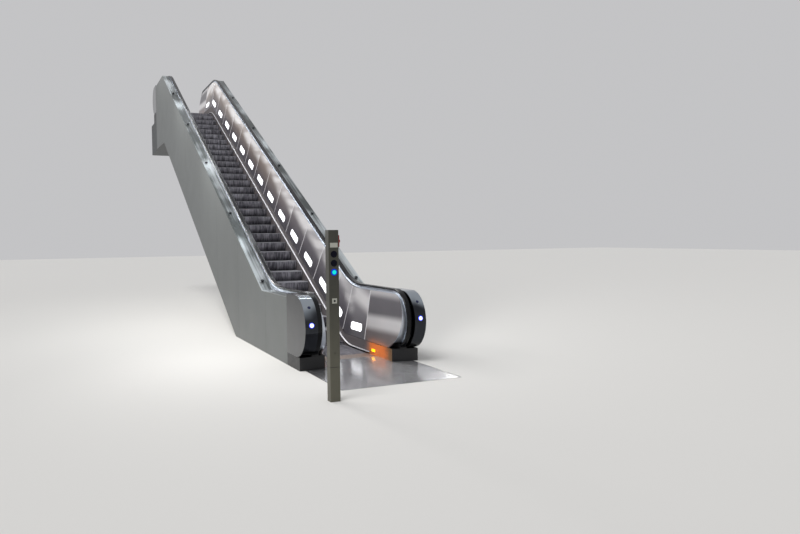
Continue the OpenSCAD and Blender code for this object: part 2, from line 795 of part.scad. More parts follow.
// End panel: a disc round the newel centre, with a straight edge down to the skirt
end_r = panel_top - newel_h;
foot_dx = newel_x - end_foot_x;
foot_dz = panel_low - newel_h;
foot_angle = atan2(foot_dz, foot_dx) + 360 - acos(end_r / norm([foot_dx, foot_dz]));

module end_outline() {
    translate([-newel_x, newel_h]) circle(end_r);
    polygon([
        [-newel_x + end_r * cos(foot_angle), newel_h + end_r * sin(foot_angle)], [-end_foot_x, panel_low],
        [-landing_joint_x, panel_low], [-landing_joint_x, panel_top], [-newel_x, panel_top]
    ]);
}

module landing_panels() {
    intersection() {
        translate([0, 0, tread_level])
            along(-newel_x - end_r - 1, -landing_joint_x - panel_gap / 2) panel_section(1);
        upright(0, half_w) end_outline();
    }
}

// Level panel from the landing joint to x1
module flat_panel(x1) {
    translate([0, 0, tread_level]) difference() {
        along(-landing_joint_x, x1) panel_section(1);
        light_hole(1, -landing_light_x, landing_light_mid);
    }
}

// Trims panels to their foot and top lines and to the joints given by an outline
module trimmed(outline) intersection() {
    children();
    upright(0, half_w) polygon([
        each bent(panel_top, -newel_x, upper_x + newel_x), [upper_x + newel_x, rise + panel_low],
        [run, rise + panel_low], [0, panel_low], [-newel_x, panel_low]
    ]);
    upright(0, half_w) polygon(outline);
}

// The joints at the bends lean back by half the slope
module inner_panels_side() {
    half_gap = panel_gap / 2;
    low_x = function(h) (low_joint_h - h) * half_tan;
    up_x = function(h) run + (up_joint_h - h) * half_tan;
    first_x = half_gap - landing_joint_x;
    last_x = upper_x + landing_joint_x - half_gap;
    high = section_head;
    at_both() landing_panels();
    trimmed([[first_x, 0], [low_x(0) - half_gap, 0], [low_x(high) - half_gap, high], [first_x, high]])
        flat_panel(low_x(0));
    trimmed([[low_x(0) + half_gap, 0], [up_x(0) - half_gap, rise],
             [up_x(high) - half_gap, rise + high], [low_x(high) + half_gap, high]])
        slope_panels();
    trimmed([[up_x(0) + half_gap, rise], [last_x, rise], [last_x, rise + high],
             [up_x(high) + half_gap, rise + high]])
        at_upper() flat_panel(upper_x - up_x(high));
}

module panel_lights_side() {
    translate([0, 0, tread_level]) panel_light(1, -landing_light_x, landing_light_mid);
    at_upper() translate([0, 0, tread_level]) panel_light(1, -landing_light_x, landing_light_mid);
    on_slope() for (u = lights) panel_light(c, u, light_mid);
}

module inner_panels_left() color("gray") inner_panels_side();
module inner_panels_right() color("gray") mirror([0, 1, 0]) inner_panels_side();
module panel_lights_left() color("white") panel_lights_side();
module panel_lights_right() color("white") mirror([0, 1, 0]) panel_lights_side();

// Handrail and its guide, drawn as [height from the middle, across]

// Points of a rounded corner, from angle a over a quarter turn
function corner(x, y, a) = [for (i = [0:4]) [x, y] + rail_round * [cos(a + 22.5 * i), sin(a + 22.5 * i)]];

module rail_section() {
    high = rail_t / 2;
    side = rail_w / 2;
    inner = side - rail_wall;
    mouth = web_t / 2 + 3;
    translate([0, rail_y]) polygon([
        each corner(high - rail_round, side - rail_round, 0),
        each corner(rail_round - high, side - rail_round, 90),
        [-high, mouth], [rail_lip - high, mouth], [rail_lip - high, inner], [high - rail_wall, inner],
        [high - rail_wall, -inner], [rail_lip - high, -inner], [rail_lip - high, -mouth], [-high, -mouth],
        each corner(rail_round - high, rail_round - side, 180),
        each corner(high - rail_round, rail_round - side, 270)
    ]);
}

module head_section() {
    inner_w = rail_w - 2 * (rail_wall + rail_play);
    low = rail_lip - rail_t / 2 + rail_play;
    high = rail_t / 2 - rail_wall - rail_play;
    translate([low, rail_y - inner_w / 2]) square([high - low, inner_w]);
}

newel_r = rail_h - newel_h;

module round_newel(r) {
    round_axis(-newel_x, newel_h, 90, newel_arc) translate([r, 0]) mirror([0, 1]) children();
}

module handrail_side() {
    run_up(rail_h, rail_h, rail_bend_r, rail_bend_r, hair - newel_x, upper_x + newel_x - hair) rail_section();
    at_both() round_newel(newel_r) rail_section();
}

module handrail_left() color("black") handrail_side();
module handrail_right() color("black") mirror([0, 1, 0]) handrail_side();

// The panels are rounded at the bends and the outer deck isn't, so a solid foot fills the lower corner
// and an upright plate closes the upper one
module guide_side() {
    x0 = hair - newel_x;
    x1 = upper_x + newel_x - hair;
    upright(panel_head_y, deck_in_y) polygon([
        each bent(panel_top, x0, x1), each turned(bent(panel_top + foot_t, x0, x1))
    ]);
    upright(rail_y - web_t / 2, rail_y + web_t / 2) polygon([
        each bent(panel_top + 1, x0, x1), each turned(bent(rail_h - 4, x0, x1))
    ]);
    upright(panel_back(section_head, 1), deck_in_y) polygon([
        [0, panel_top], for (i = [bend_steps:-1:0]) low_turn(slope * i / bend_steps) + [0, panel_top + 1]
    ]);
    upright(deck_in_y - foot_t, deck_in_y) polygon([
        [run, rise + panel_top + foot_t],
        for (i = [0:bend_steps]) up_turn(slope * i / bend_steps) + [0, panel_top + 1]
    ]);
    run_up(rail_h, rail_h, rail_bend_r, rail_bend_r, x0, x1) head_section();
    at_both() {
        round_newel(newel_r) head_section();
        round_newel(0) translate([end_r + 1, rail_y - web_t / 2]) square([newel_r - 4 - end_r - 1, web_t]);
        newel_rim();
    }
}

// Rim round the end panel, reaching out from the panel face to the handrail
module newel_rim() {
    intersection() {
        round_newel(0) translate([end_r, panel_foot_y]) square([foot_t, rail_y + rail_w / 2 - panel_foot_y]);
        translate([0, 0, tread_level]) along(-newel_x - 2 * end_r, -newel_x + end_r) polygon([
            [0, panel_y(0)], [0, half_w], [panel_top + 2 * foot_t, half_w],
            [panel_top + 2 * foot_t, panel_y(panel_top + 2 * foot_t)]
        ]);
    }
}

module handrail_guide_left() color("silver") guide_side();
module handrail_guide_right() color("silver") mirror([0, 1, 0]) guide_side();

// Newel hoods, bases and inlets

module hood() {
    hood_low = hood_h - hood_r;
    round_axis(-hood_x, hood_h, 90, 180) translate([0, -half_w]) square([hood_r, half_w - deck_in_y]);
    translate([-hood_x, deck_in_y, tread_level + hood_low])
        cube([hood_x - hood_end_x, half_w - deck_in_y, 2 * hood_r]);
}

// Seat of a round lamp in the front of a hood: outward along the radius at an angle
module on_hood(angle) {
    translate([-hood_x, (deck_in_y + half_w) / 2, tread_level + hood_h]) rotate([0, angle - 90, 0])
        translate([0, 0, hood_r]) children();
}

hood_lamp_in = 14;
module hood_with_seats() difference() {
    hood();
    on_hood(hood_lamp_angle) translate([0, 0, -hood_lamp_in]) cylinder(d = hood_lamp_d, h = 60);
    on_hood(hood_lens_angle) translate([0, 0, -hood_lamp_in]) cylinder(d = hood_lens_d, h = 60);
}

module newel_hoods_left() color("slategray") at_both() hood_with_seats();
module newel_hoods_right() color("slategray") mirror([0, 1, 0]) at_both() hood_with_seats();

// Round lens in its seat, with a bevelled front
module hood_lens(angle, d, bevel, proud) on_hood(angle) translate([0, 0, -hood_lamp_in]) {
    cylinder(d = d - 2 * light_play, h = hood_lamp_in + 1);
    translate([0, 0, hood_lamp_in + 1]) cylinder(d1 = d - 2 * light_play, d2 = d - 2 * bevel, h = proud);
}

module hood_lamps() color("aliceblue") at_both() for (m = [0, 1]) mirror([0, m, 0]) {
    hood_lens(hood_lamp_angle, hood_lamp_d, 4, 3);
    hood_lens(hood_lens_angle, hood_lens_d, 3, 2);
}

base_top = hood_h - hood_r;

module newel_bases() color("black") at_both() for (m = [0, 1]) mirror([0, m, 0])
    translate([0, 0, tread_level + floor_up]) linear_extrude(base_top - floor_up) polygon([
        [-base_front_x, skirt_back_y], [-base_corner_x, half_w - base_corner_in], [-base_corner_x, half_w],
        [-hood_end_x, half_w], [-hood_end_x, skirt_back_y]
    ]);

// The handrail dives into the front face of this block
module inlet() {
    dir = 90 + newel_arc;
    out = newel_r + rail_t / 2 + 12;
    in = newel_r - rail_t / 2 - 12;
    upper_corner = [-newel_x + in * cos(dir), newel_h + in * sin(dir)];
    upright(rail_y - rail_w / 2 - 12, deck_in_y) polygon([
        [-newel_x + out * cos(dir), base_top], [-newel_x + out * cos(dir), newel_h + out * sin(dir)],
        upper_corner, [-inlet_back_x, upper_corner[1]], [-inlet_back_x, base_top]
    ]);
}

module handrail_inlets() color("black") at_both() for (m = [0, 1]) mirror([0, m, 0]) inlet();

module skirt_lights() color("orange") at_both() for (m = [0, 1]) mirror([0, m, 0]) {
    difference() {
        translate([-glow_cover_x - glow_cover_l / 2, skirt_y - glow_cover_t,
            tread_level + glow_mid - glow_cover_h / 2])
            cube([glow_cover_l, glow_cover_t, glow_cover_h]);
        translate([-glow_x - glow_l / 2, skirt_y - glow_cover_t - 1, tread_level + glow_mid - glow_h / 2])
            cube([glow_l, glow_cover_t + 2, glow_h]);
    }
    translate([-glow_x - glow_l / 2 + light_play, skirt_y - glow_cover_t - 1,
        tread_level + glow_mid - glow_h / 2 + light_play])
        cube([glow_l - 2 * light_play, skirt_t + glow_cover_t + 1, glow_h - 2 * light_play]);
}

// Signal post

post_mid_x = -post_x + post_w / 2;
post_height = tread_level + post_top;

module signal_post() color("darkolivegreen") translate([post_mid_x, post_y, 0]) {
    translate([-post_foot_w / 2, -post_foot_w / 2, 0]) cube([post_foot_w, post_foot_w, post_foot_t]);
    difference() {
        linear_extrude(post_height) rounded(post_w, post_w, post_r);
        translate([post_wall - post_w / 2, post_wall - post_w / 2, post_foot_t])
            cube([post_w - 2 * post_wall, post_w - 2 * post_wall, post_height - post_foot_t - post_wall]);
        translate([-post_w / 2 - 1, -9, tread_level + slot_mid - 4]) cube([post_wall + 2, 18, 8]);
    }
}

// Round and flat fittings sit on the front face, which looks down the hall
module on_post(h) translate([-post_x, post_y, tread_level + h]) rotate([0, -90, 0]) children();

module post_lamps() color("midnightblue") for (i = [0:2]) on_post(lamp_low + lamp_pitch * i) {
    cylinder(d = lamp_d, h = lamp_out / 2);
    translate([0, 0, lamp_out / 2]) cylinder(d1 = lamp_d - 8, d2 = lamp_d - 20, h = lamp_out / 2);
}

module post_plates() color("lightgray") {
    on_post(plate_mid) translate([-plate_h / 2, -post_w / 2 + 14, 0]) cube([plate_h, post_w - 28, 2]);
    on_post(key_mid) {
        translate([-key_w / 2, -key_w / 2, 0]) cube([key_w, key_w, 3]);
        translate([0, 0, 3]) cylinder(d = 24, h = 5);
    }
}

module stop_button() color("red") translate([post_mid_x, post_y - post_w / 2, tread_level + stop_mid])
    rotate([90, 0, 0]) {
        linear_extrude(stop_out) rounded(stop_w, stop_h, post_r);
        translate([0, 0, stop_out]) cylinder(d = stop_d * 0.6, h = 6);
        translate([0, 0, stop_out + 6]) cylinder(d1 = stop_d, d2 = stop_d - 10, h = 10);
    }

landing_frame_lower();
landing_frame_upper();
bearing_angle();
floor_plates_lower();
floor_plates_upper();
comb_plate_lower();
comb_plate_upper();
comb_segments_lower();
comb_segments_upper();
steps_lower();
steps_slope();
steps_upper();
step_tracks();
cross_frames();
soffit();
casing_left();
casing_right();
skirt_left();
skirt_right();
brush_rail_left();
brush_rail_right();
brush_left();
brush_right();
inner_panels_left();
inner_panels_right();
panel_lights_left();
panel_lights_right();
outer_deck_left();
outer_deck_right();
deck_knobs();
handrail_guide_left();
handrail_guide_right();
handrail_left();
handrail_right();
newel_hoods_left();
newel_hoods_right();
newel_bases();
handrail_inlets();
hood_lamps();
skirt_lights();
signal_post();
post_lamps();
post_plates();
stop_button();
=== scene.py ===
"""An escalator with panelled steel balustrades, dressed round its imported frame."""
import math

import bmesh
import bpy
from mathutils import Matrix, Vector


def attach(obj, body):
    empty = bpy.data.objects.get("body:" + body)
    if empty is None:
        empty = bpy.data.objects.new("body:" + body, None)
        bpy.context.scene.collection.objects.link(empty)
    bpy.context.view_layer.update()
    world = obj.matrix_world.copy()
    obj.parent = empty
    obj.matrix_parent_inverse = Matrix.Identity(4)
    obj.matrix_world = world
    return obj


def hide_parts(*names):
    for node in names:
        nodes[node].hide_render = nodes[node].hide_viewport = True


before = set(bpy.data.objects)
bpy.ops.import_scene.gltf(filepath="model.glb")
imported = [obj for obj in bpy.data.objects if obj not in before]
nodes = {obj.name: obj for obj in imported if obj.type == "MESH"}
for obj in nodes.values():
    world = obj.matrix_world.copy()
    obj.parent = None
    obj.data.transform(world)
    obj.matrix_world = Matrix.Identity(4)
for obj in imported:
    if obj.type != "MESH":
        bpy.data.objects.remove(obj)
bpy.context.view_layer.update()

# The view: a camera at a standing person's eye height in the hall, left of the machine and turned
# towards it. Heights count from the finished floor, which lies level with the floor plates.
FLOOR_LEVEL = 0.3112
TREAD_LEVEL = 0.3
EYE = Vector((-10.810, 3.711, TREAD_LEVEL + 1.808))
TURN_RIGHT, PITCH_DOWN, ROLL = math.radians(25.89), math.radians(2.57), math.radians(0.57)
LENS, SENSOR = 31.46, 36.0

look = Vector((
    math.cos(TURN_RIGHT) * math.cos(PITCH_DOWN),
    -math.sin(TURN_RIGHT) * math.cos(PITCH_DOWN),
    -math.sin(PITCH_DOWN),
))
level_right = Vector((-math.sin(TURN_RIGHT), -math.cos(TURN_RIGHT), 0))
level_down = look.cross(level_right)
right = level_right * math.cos(ROLL) + level_down * math.sin(ROLL)
down = level_down * math.cos(ROLL) - level_right * math.sin(ROLL)
lens = bpy.data.cameras.new("camera")
lens.lens, lens.sensor_width, lens.clip_end = LENS, SENSOR, 400
camera = bpy.data.objects.new("camera", lens)
camera.matrix_world = Matrix.Translation(EYE) @ Matrix((right, -down, -look)).transposed().to_4x4()
bpy.context.scene.collection.objects.link(camera)
bpy.context.scene.camera = camera
bpy.context.scene.view_settings.view_transform = "Standard"


# The hall: a pale matt floor with an opening for the landing frame and the pit end of the truss,
# and soft light from a pale sky, one wide lamp overhead and two rows of strip lamps above the stairs.
class Wire:
    """One socket of a node tree, written in a sum as if it were a number."""

    def __init__(self, tree, socket=None):
        self.tree, self.socket = tree, socket

    def node(self, kind, settings=None, sockets=None, out=0):
        made = self.tree.nodes.new(kind)
        for name, value in (settings or {}).items():
            if name == "stops":
                while len(made.color_ramp.elements) < len(value):
                    made.color_ramp.elements.new(1.0)
                for stop, (position, colour) in zip(made.color_ramp.elements, value):
                    stop.position, stop.color = position, colour
            else:
                setattr(made, name, value)
        for name, value in (sockets or {}).items():
            if isinstance(value, Wire):
                self.tree.links.new(value.socket, made.inputs[name])
            else:
                made.inputs[name].default_value = value
        return Wire(self.tree, made.outputs[out])

    def maths(self, operation, *values):
        return self.node("ShaderNodeMath", {"operation": operation}, dict(enumerate(values)))

    def __add__(self, other): return self.maths("ADD", self, other)
    def __sub__(self, other): return self.maths("SUBTRACT", self, other)
    def __rsub__(self, other): return self.maths("SUBTRACT", other, self)
    def __mul__(self, other): return self.maths("MULTIPLY", self, other)
    def __truediv__(self, other): return self.maths("DIVIDE", self, other)
    __radd__, __rmul__ = __add__, __mul__

    def limit(self, low, high):
        return self.maths("MINIMUM", self.maths("MAXIMUM", self, low), high)

    def rise_over(self, low, high):
        """0 below one value, 1 above the other, and smooth between them."""
        return self.node("ShaderNodeMapRange", {"interpolation_type": "SMOOTHSTEP"},
                         {"Value": self, "From Min": low, "From Max": high})

    def blend(self, first, second):
        """A colour between two, by this value."""
        return self.node("ShaderNodeMix", {"data_type": "RGBA"}, {0: self, 6: first, 7: second}, 2)

    def stretch(self, x, y, z):
        return self.node("ShaderNodeVectorMath", {"operation": "MULTIPLY"}, {0: self, 1: (x, y, z)})

    def noise(self, scale, detail=3.0, roughness=0.5):
        return self.node("ShaderNodeTexNoise", None,
                         {"Vector": self, "Scale": scale, "Detail": detail, "Roughness": roughness})

    def parts(self):
        return [self.node("ShaderNodeSeparateXYZ", None, {0: self}, axis) for axis in range(3)]

    def bump(self, distance, strength=1.0):
        return self.node("ShaderNodeBump", None, {"Height": self, "Distance": distance, "Strength": strength})


def tint(red, green, blue):
    """A shader colour from its 0 to 255 display values."""
    lit = [value / 255 for value in (red, green, blue)]
    return [v / 12.92 if v < 0.04 else ((v + 0.055) / 1.055) ** 2.4 for v in lit] + [1.0]


def new_finish(name):
    """A material, and the Object coordinates in it."""
    material = bpy.data.materials.new(name)
    material.use_nodes = True
    return material, Wire(material.node_tree).node("ShaderNodeTexCoord", out="Object")


def set_finish(material, sockets):
    shader = material.node_tree.nodes["Principled BSDF"]
    for name, value in sockets.items():
        if isinstance(value, Wire):
            material.node_tree.links.new(value.socket, shader.inputs[name])
        else:
            shader.inputs[name].default_value = value


def coat(material, *names):
    for name in names:
        for place in nodes[name].material_slots:
            place.material = material


def mesh_object(name, verts, faces, material=None):
    mesh = bpy.data.meshes.new(name)
    mesh.from_pydata(verts, [], faces)
    if material:
        mesh.materials.append(material)
    made = bpy.data.objects.new(name, mesh)
    bpy.context.scene.collection.objects.link(made)
    return made


FLOOR_REACH = 60.0
PIT_X, PIT_Y = (-3.2505, -1.9055, 1.88), (0.8105, 0.8862)
PIT_CELLS = {(1, 2), (2, 1), (2, 2), (2, 3)}
floor_xs = (-FLOOR_REACH, *PIT_X, FLOOR_REACH)
floor_ys = (-FLOOR_REACH, -PIT_Y[1], -PIT_Y[0], PIT_Y[0], PIT_Y[1], FLOOR_REACH)
floor_finish, place = new_finish("pale matt floor")
set_finish(floor_finish, {"Base Color": tint(214, 213, 210), "Roughness": 0.85})
floor_faces = []
for i in range(len(floor_xs) - 1):
    for j in range(len(floor_ys) - 1):
        if (i, j) not in PIT_CELLS:
            corner = i * len(floor_ys) + j
            floor_faces.append((corner, corner + len(floor_ys), corner + len(floor_ys) + 1, corner + 1))
floor_verts = [(x, y, FLOOR_LEVEL) for x in floor_xs for y in floor_ys]
floor = mesh_object("floor", floor_verts, floor_faces, floor_finish)

SKY_LEVEL, SKY_BLUE = 0.55, 1.02
sky = bpy.data.worlds.new("sky")
sky.use_nodes = True
sky_colour = sky.node_tree.nodes["Background"].inputs["Color"]
sky_colour.default_value = (SKY_LEVEL, SKY_LEVEL, SKY_LEVEL * SKY_BLUE, 1)
bpy.context.scene.world = sky


def hang_lamp(name, place, target, width, depth, power, colour):
    """A rectangular lamp that faces a target and that the camera doesn't see."""
    lamp = bpy.data.lights.new(name, "AREA")
    lamp.shape, lamp.size, lamp.size_y = "RECTANGLE", width, depth
    lamp.energy, lamp.color = power, colour
    made = bpy.data.objects.new(name, lamp)
    made.location = place
    made.rotation_euler = (Vector(target) - Vector(place)).to_track_quat("-Z", "Y").to_euler()
    made.visible_camera = False
    bpy.context.scene.collection.objects.link(made)
    return made


STRIP_XS, STRIP_ABOVE, STRIP_CLIMB = (-0.6, 3.2, 6.8, 10.4), 2.6, 0.516
SIDE_STRIP_Y, SIDE_STRIP_SIZE, FIRST_STRIP_POWER, SIDE_STRIP_POWER = 2.1, (2.6, 0.4), 34.0, 84.0
MIDDLE_STRIP_Y, MIDDLE_STRIP_SIZE, MIDDLE_STRIP_POWER = -0.1, (2.4, 0.12), 12.0
WARM_WHITE, COOL_WHITE = (1.0, 0.98, 0.95), (0.90, 0.96, 1.0)
for number, strip_x in enumerate(STRIP_XS):
    strip_z = TREAD_LEVEL + max(0.0, strip_x) * STRIP_CLIMB + STRIP_ABOVE
    hang_lamp("strip_lamp_%d" % number, (strip_x, SIDE_STRIP_Y, strip_z),
              (strip_x - 0.8, -0.4, strip_z - 2.0), *SIDE_STRIP_SIZE,
              SIDE_STRIP_POWER if number else FIRST_STRIP_POWER, WARM_WHITE)
    hang_lamp("ceiling_strip_%d" % number, (strip_x, MIDDLE_STRIP_Y, strip_z),
              (strip_x + 0.5, MIDDLE_STRIP_Y, strip_z - 1.0), *MIDDLE_STRIP_SIZE,
              MIDDLE_STRIP_POWER, COOL_WHITE)

SUN_POWER, SUN_WIDTH, SUN_LEAN = 1.4, math.radians(28), (math.radians(-24), math.radians(-16), 0)
sun = bpy.data.lights.new("overhead_lamp", "SUN")
sun.energy, sun.angle = SUN_POWER, SUN_WIDTH
overhead = bpy.data.objects.new("overhead_lamp", sun)
overhead.rotation_euler = SUN_LEAN
bpy.context.scene.collection.objects.link(overhead)

# The truss and landing frames: welded steel angle and plate with a thick dark grey shop paint,
# closed below by sheet steel and carrying the rolled tracks that the step wheels run on.
frame_paint, place = new_finish("truss paint")
mottle = place.noise(9.0, 5.0)
set_finish(frame_paint, {
    "Base Color": mottle.blend(tint(52, 56, 58), tint(70, 73, 74)),
    "Roughness": mottle * 0.2 + 0.42,
    "Normal": place.noise(420.0, 2.0).bump(0.0003, 0.5),
})
coat(frame_paint, "cross_frames", "landing_frame_lower", "landing_frame_upper", "bearing_angle")

track_steel, place = new_finish("track steel")
wear = place.stretch(1.5, 160.0, 160.0).noise(1.0, 4.0)
set_finish(track_steel, {
    "Base Color": wear.blend(tint(120, 118, 114), tint(160, 158, 154)),
    "Metallic": 0.85, "Roughness": wear * 0.25 + 0.3,
})
coat(track_steel, "step_tracks")

# The step band: 36 die cast steps with cleats along the travel, dark anodised, with the cleat
# tops rubbed bright by shoes. Each rides on four small wheels and stays level on the climb.
SLOPE = math.radians(27.3)
RISE = 5.57
RUN = RISE / math.tan(SLOPE)
SLOPE_LEN = RISE / math.sin(SLOPE)
UPPER_SHIFT = 0.28
UPPER_X = RUN + UPPER_SHIFT
STEP_WIDTH, STEP_PITCH, STEP_GAP = 1.0, 0.405, 0.005
TREAD_DEPTH = STEP_PITCH - STEP_GAP
RISER_ARC, RISER_DROP_STEPS = math.radians(30), 4
CLEATS, CLEAT_DEPTH, RISER_CLEAT_DEPTH, CLEAT_TOP, CLEAT_FOOT = 110, 0.010, 0.006, 0.0030, 0.0036
CLEAT_PITCH = STEP_WIDTH / CLEATS
FIRST_NOSING = -0.850
STEP_RADII = (1.3, 1.5)
STEP_COUNT, END_STEPS = 36, 6


def climb(distance, corner, level, low_r, up_r):
    """Place and lean of a point that far past the start of the lower bend of a line up the stairs."""
    low_tan, up_tan = low_r * math.tan(SLOPE / 2), up_r * math.tan(SLOPE / 2)
    low_arc, middle, up_arc = low_r * SLOPE, SLOPE_LEN - low_tan - up_tan, up_r * SLOPE
    lean_in = (distance / low_r).limit(0.0, SLOPE)
    straight = (distance - low_arc).limit(0.0, middle)
    lean_out = ((distance - low_arc - middle) / up_r).limit(0.0, SLOPE)
    left = SLOPE - lean_out
    past = distance - (low_arc + middle + up_arc)
    x = (corner - low_tan + distance.limit(-9.0, 0.0) + distance.maths("SINE", lean_in) * low_r
         + straight * math.cos(SLOPE) + (math.sin(SLOPE) - distance.maths("SINE", left)) * up_r
         + past.limit(0.0, 9.0))
    z = (TREAD_LEVEL + level + (1.0 - distance.maths("COSINE", lean_in)) * low_r
         + straight * math.sin(SLOPE) + (distance.maths("COSINE", left) - math.cos(SLOPE)) * up_r)
    return x, z, lean_in - lean_out


def new_tree(name, sizes):
    """A geometry tree with named inputs, and a wire for each of them."""
    tree = bpy.data.node_groups.new(name, "GeometryNodeTree")
    tree.interface.new_socket("Piece", in_out="INPUT", socket_type="NodeSocketGeometry")
    for size, kind in sizes.items():
        tree.interface.new_socket(size, in_out="INPUT", socket_type="NodeSocket" + kind)
    tree.interface.new_socket("Result", in_out="OUTPUT", socket_type="NodeSocketGeometry")
    ends = tree.nodes.new("NodeGroupInput")
    return tree, {socket.name: Wire(tree, socket) for socket in ends.outputs if socket.name}


def end_tree(tree, geometry, material):
    real = geometry.node("GeometryNodeRealizeInstances", None, {0: geometry})
    done = real.node("GeometryNodeSetMaterial", None, {"Geometry": real, "Material": material})
    tree.links.new(done.socket, tree.nodes.new("NodeGroupOutput").inputs[0])


def run_tree(name, piece, tree, sizes):
    """Runs a tree on a small seed piece and leaves a plain mesh."""
    modifier = piece.modifiers.new("repeat", "NODES")
    modifier.node_group = tree
    for socket in tree.interface.items_tree:
        if socket.in_out == "INPUT" and socket.name in sizes:
            modifier[socket.identifier] = sizes[socket.name]
    bpy.context.view_layer.update()
    whole = bpy.data.meshes.new_from_object(piece.evaluated_get(bpy.context.evaluated_depsgraph_get()))
    piece.modifiers.remove(modifier)
    piece.data = whole
    piece.name = whole.name = name
    return piece


row_across, inlet = new_tree("row across", {"Count": "Int", "Pitch": "Float", "Finish": "Material"})
line = inlet["Piece"].node("GeometryNodeMeshLine", {"mode": "OFFSET"}, {
    "Count": inlet["Count"],
    "Start Location": inlet["Piece"].node("ShaderNodeCombineXYZ", None, {
        "Y": (1.0 - inlet["Count"]) * inlet["Pitch"] * 0.5}),
    "Offset": inlet["Piece"].node("ShaderNodeCombineXYZ", None, {"Y": inlet["Pitch"]}),
})
end_tree(row_across, line.node("GeometryNodeInstanceOnPoints", None,
                               {"Points": line, "Instance": inlet["Piece"]}), inlet["Finish"])

row_sizes = {"Count": "Int", "Start": "Float", "Pitch": "Float", "Corner": "Float", "Level": "Float",
             "Lower radius": "Float", "Upper radius": "Float", "Lean": "Float", "Finish": "Material"}
row_up, inlet = new_tree("row up the stairs", row_sizes)
line = inlet["Piece"].node("GeometryNodeMeshLine", {"mode": "OFFSET"}, {"Count": inlet["Count"]})
distance = inlet["Piece"].node("GeometryNodeInputIndex") * inlet["Pitch"] + inlet["Start"]
across, upward, lean = climb(distance, inlet["Corner"], inlet["Level"], inlet["Lower radius"],
                             inlet["Upper radius"])
points = line.node("GeometryNodeSetPosition", None, {
    "Geometry": line, "Position": line.node("ShaderNodeCombineXYZ", None, {"X": across, "Z": upward})})
end_tree(row_up, points.node("GeometryNodeInstanceOnPoints", None, {
    "Points": points, "Instance": inlet["Piece"],
    "Rotation": points.node("ShaderNodeCombineXYZ", None, {"Y": lean * inlet["Lean"] * -1.0}),
}), inlet["Finish"])

step_metal, place = new_finish("anodised step casting")
x, y, z = place.parts()
scuff = place.stretch(3.0, 14.0, 3.0).noise(1.0, 5.0, 0.65)
fleck = place.stretch(4.0, 55.0, 5.0).noise(1.0, 3.0, 0.6)
STEP_RISE, NOSING_PHASE = STEP_PITCH * math.sin(SLOPE), TREAD_LEVEL + 0.0161
below = ((z - NOSING_PHASE) / STEP_RISE).maths("FRACT", (z - NOSING_PHASE) / STEP_RISE)
on_slope = x.rise_over(-0.3, 0.3) * (1.0 - x.rise_over(RUN - 0.3, RUN + 0.3))
# Painted highlight and shade on the slope: a light band at the nosing of each step, fainter further up, and
# painted shade darkening each riser towards its foot.
highlight_fade = 1.0 - x.rise_over(1.2, 6.0) * 0.6
painted_nosing_highlight = (1.0 - below.rise_over(0.075, 0.095)) * on_slope * highlight_fade * (fleck * 0.6 + 0.6)
painted_riser_shade = (1.0 - below.rise_over(0.05, 0.7)) * on_slope
contrast = on_slope * 0.55 + 0.45
shade = (((scuff * 0.5 + fleck * 0.5).rise_over(0.38, 0.66) - 0.45) * contrast + 0.45).limit(0.0, 1.0)
rubbed = shade.blend(tint(86, 84, 91), tint(188, 186, 194))
set_finish(step_metal, {
    "Base Color": painted_nosing_highlight.blend((painted_riser_shade * 0.8).blend(rubbed, tint(30, 29, 34)), tint(196, 196, 202)),
    "Metallic": 0.4, "Roughness": scuff * 0.2 + 0.36,
    "Normal": place.noise(900.0, 2.0).bump(0.0002, 0.4),
})


def cleat_strip(stations, depth, shift=0.0):
    """One cleat with half a groove on each side, run along stations of (place, outward) in the XZ plane."""
    section = [(-CLEAT_PITCH / 2, -depth), (-CLEAT_FOOT / 2, -depth), (-CLEAT_TOP / 2, 0.0),
               (CLEAT_TOP / 2, 0.0), (CLEAT_FOOT / 2, -depth), (CLEAT_PITCH / 2, -depth)]
    verts = [(x + out_x * rise, across + shift, z + out_z * rise)
             for (x, z), (out_x, out_z) in stations for across, rise in section]
    wide = len(section)
    faces = [(i * wide + j, (i + 1) * wide + j, (i + 1) * wide + j + 1, i * wide + j + 1)
             for i in range(len(stations) - 1) for j in range(wide - 1)]
    return verts, faces


def join_parts(name, *parts):
    verts, faces = [], []
    for some, more in parts:
        faces += [tuple(len(verts) + i for i in face) for face in more]
        verts += some
    return mesh_object(name, verts, faces)


def block(low, high):
    xs, ys, zs = zip(low, high)
    verts = [(x, y, z) for x in xs for y in ys for z in zs]
    return verts, [(0, 1, 3, 2), (4, 6, 7, 5), (0, 4, 5, 1), (2, 3, 7, 6), (0, 2, 6, 4), (1, 5, 7, 3)]


def bar_outline(outline, y0, y1):
    """A prism across the machine from an outline of (x, z), which runs anticlockwise seen from -Y."""
    count = len(outline)
    verts = [(x, y, z) for y in (y0, y1) for x, z in outline]
    sides = [(i, (i + 1) % count, (i + 1) % count + count, i + count) for i in range(count)]
    return verts, [tuple(range(count)), tuple(range(2 * count - 1, count - 1, -1))] + [s[::-1] for s in sides]


def wheel(x, z, y0, y1, radius, sides=16):
    ring = [(x + radius * math.cos(math.tau * i / sides), z + radius * math.sin(math.tau * i / sides))
            for i in range(sides)]
    return bar_outline(ring, y0, y1)


arc = [RISER_ARC * i / RISER_DROP_STEPS for i in range(RISER_DROP_STEPS + 1)]
tread = cleat_strip([((0.0, 0.0), (0, 1)), ((TREAD_DEPTH, 0.0), (0, 1))], CLEAT_DEPTH)
tread = (tread[0], [face[::-1] for face in tread[1]] + [(0, 1, 2, 3, 4, 5)])
riser = cleat_strip([((TREAD_DEPTH * (1 - math.cos(a)), -TREAD_DEPTH * math.sin(a)),
                      (-math.cos(a), -math.sin(a))) for a in arc], RISER_CLEAT_DEPTH, CLEAT_PITCH / 2)
finish_sizes = {"Count": CLEATS, "Pitch": CLEAT_PITCH, "Finish": step_metal}
cleats = run_tree("step_cleats", join_parts("cleat", tread, riser), row_across, finish_sizes)

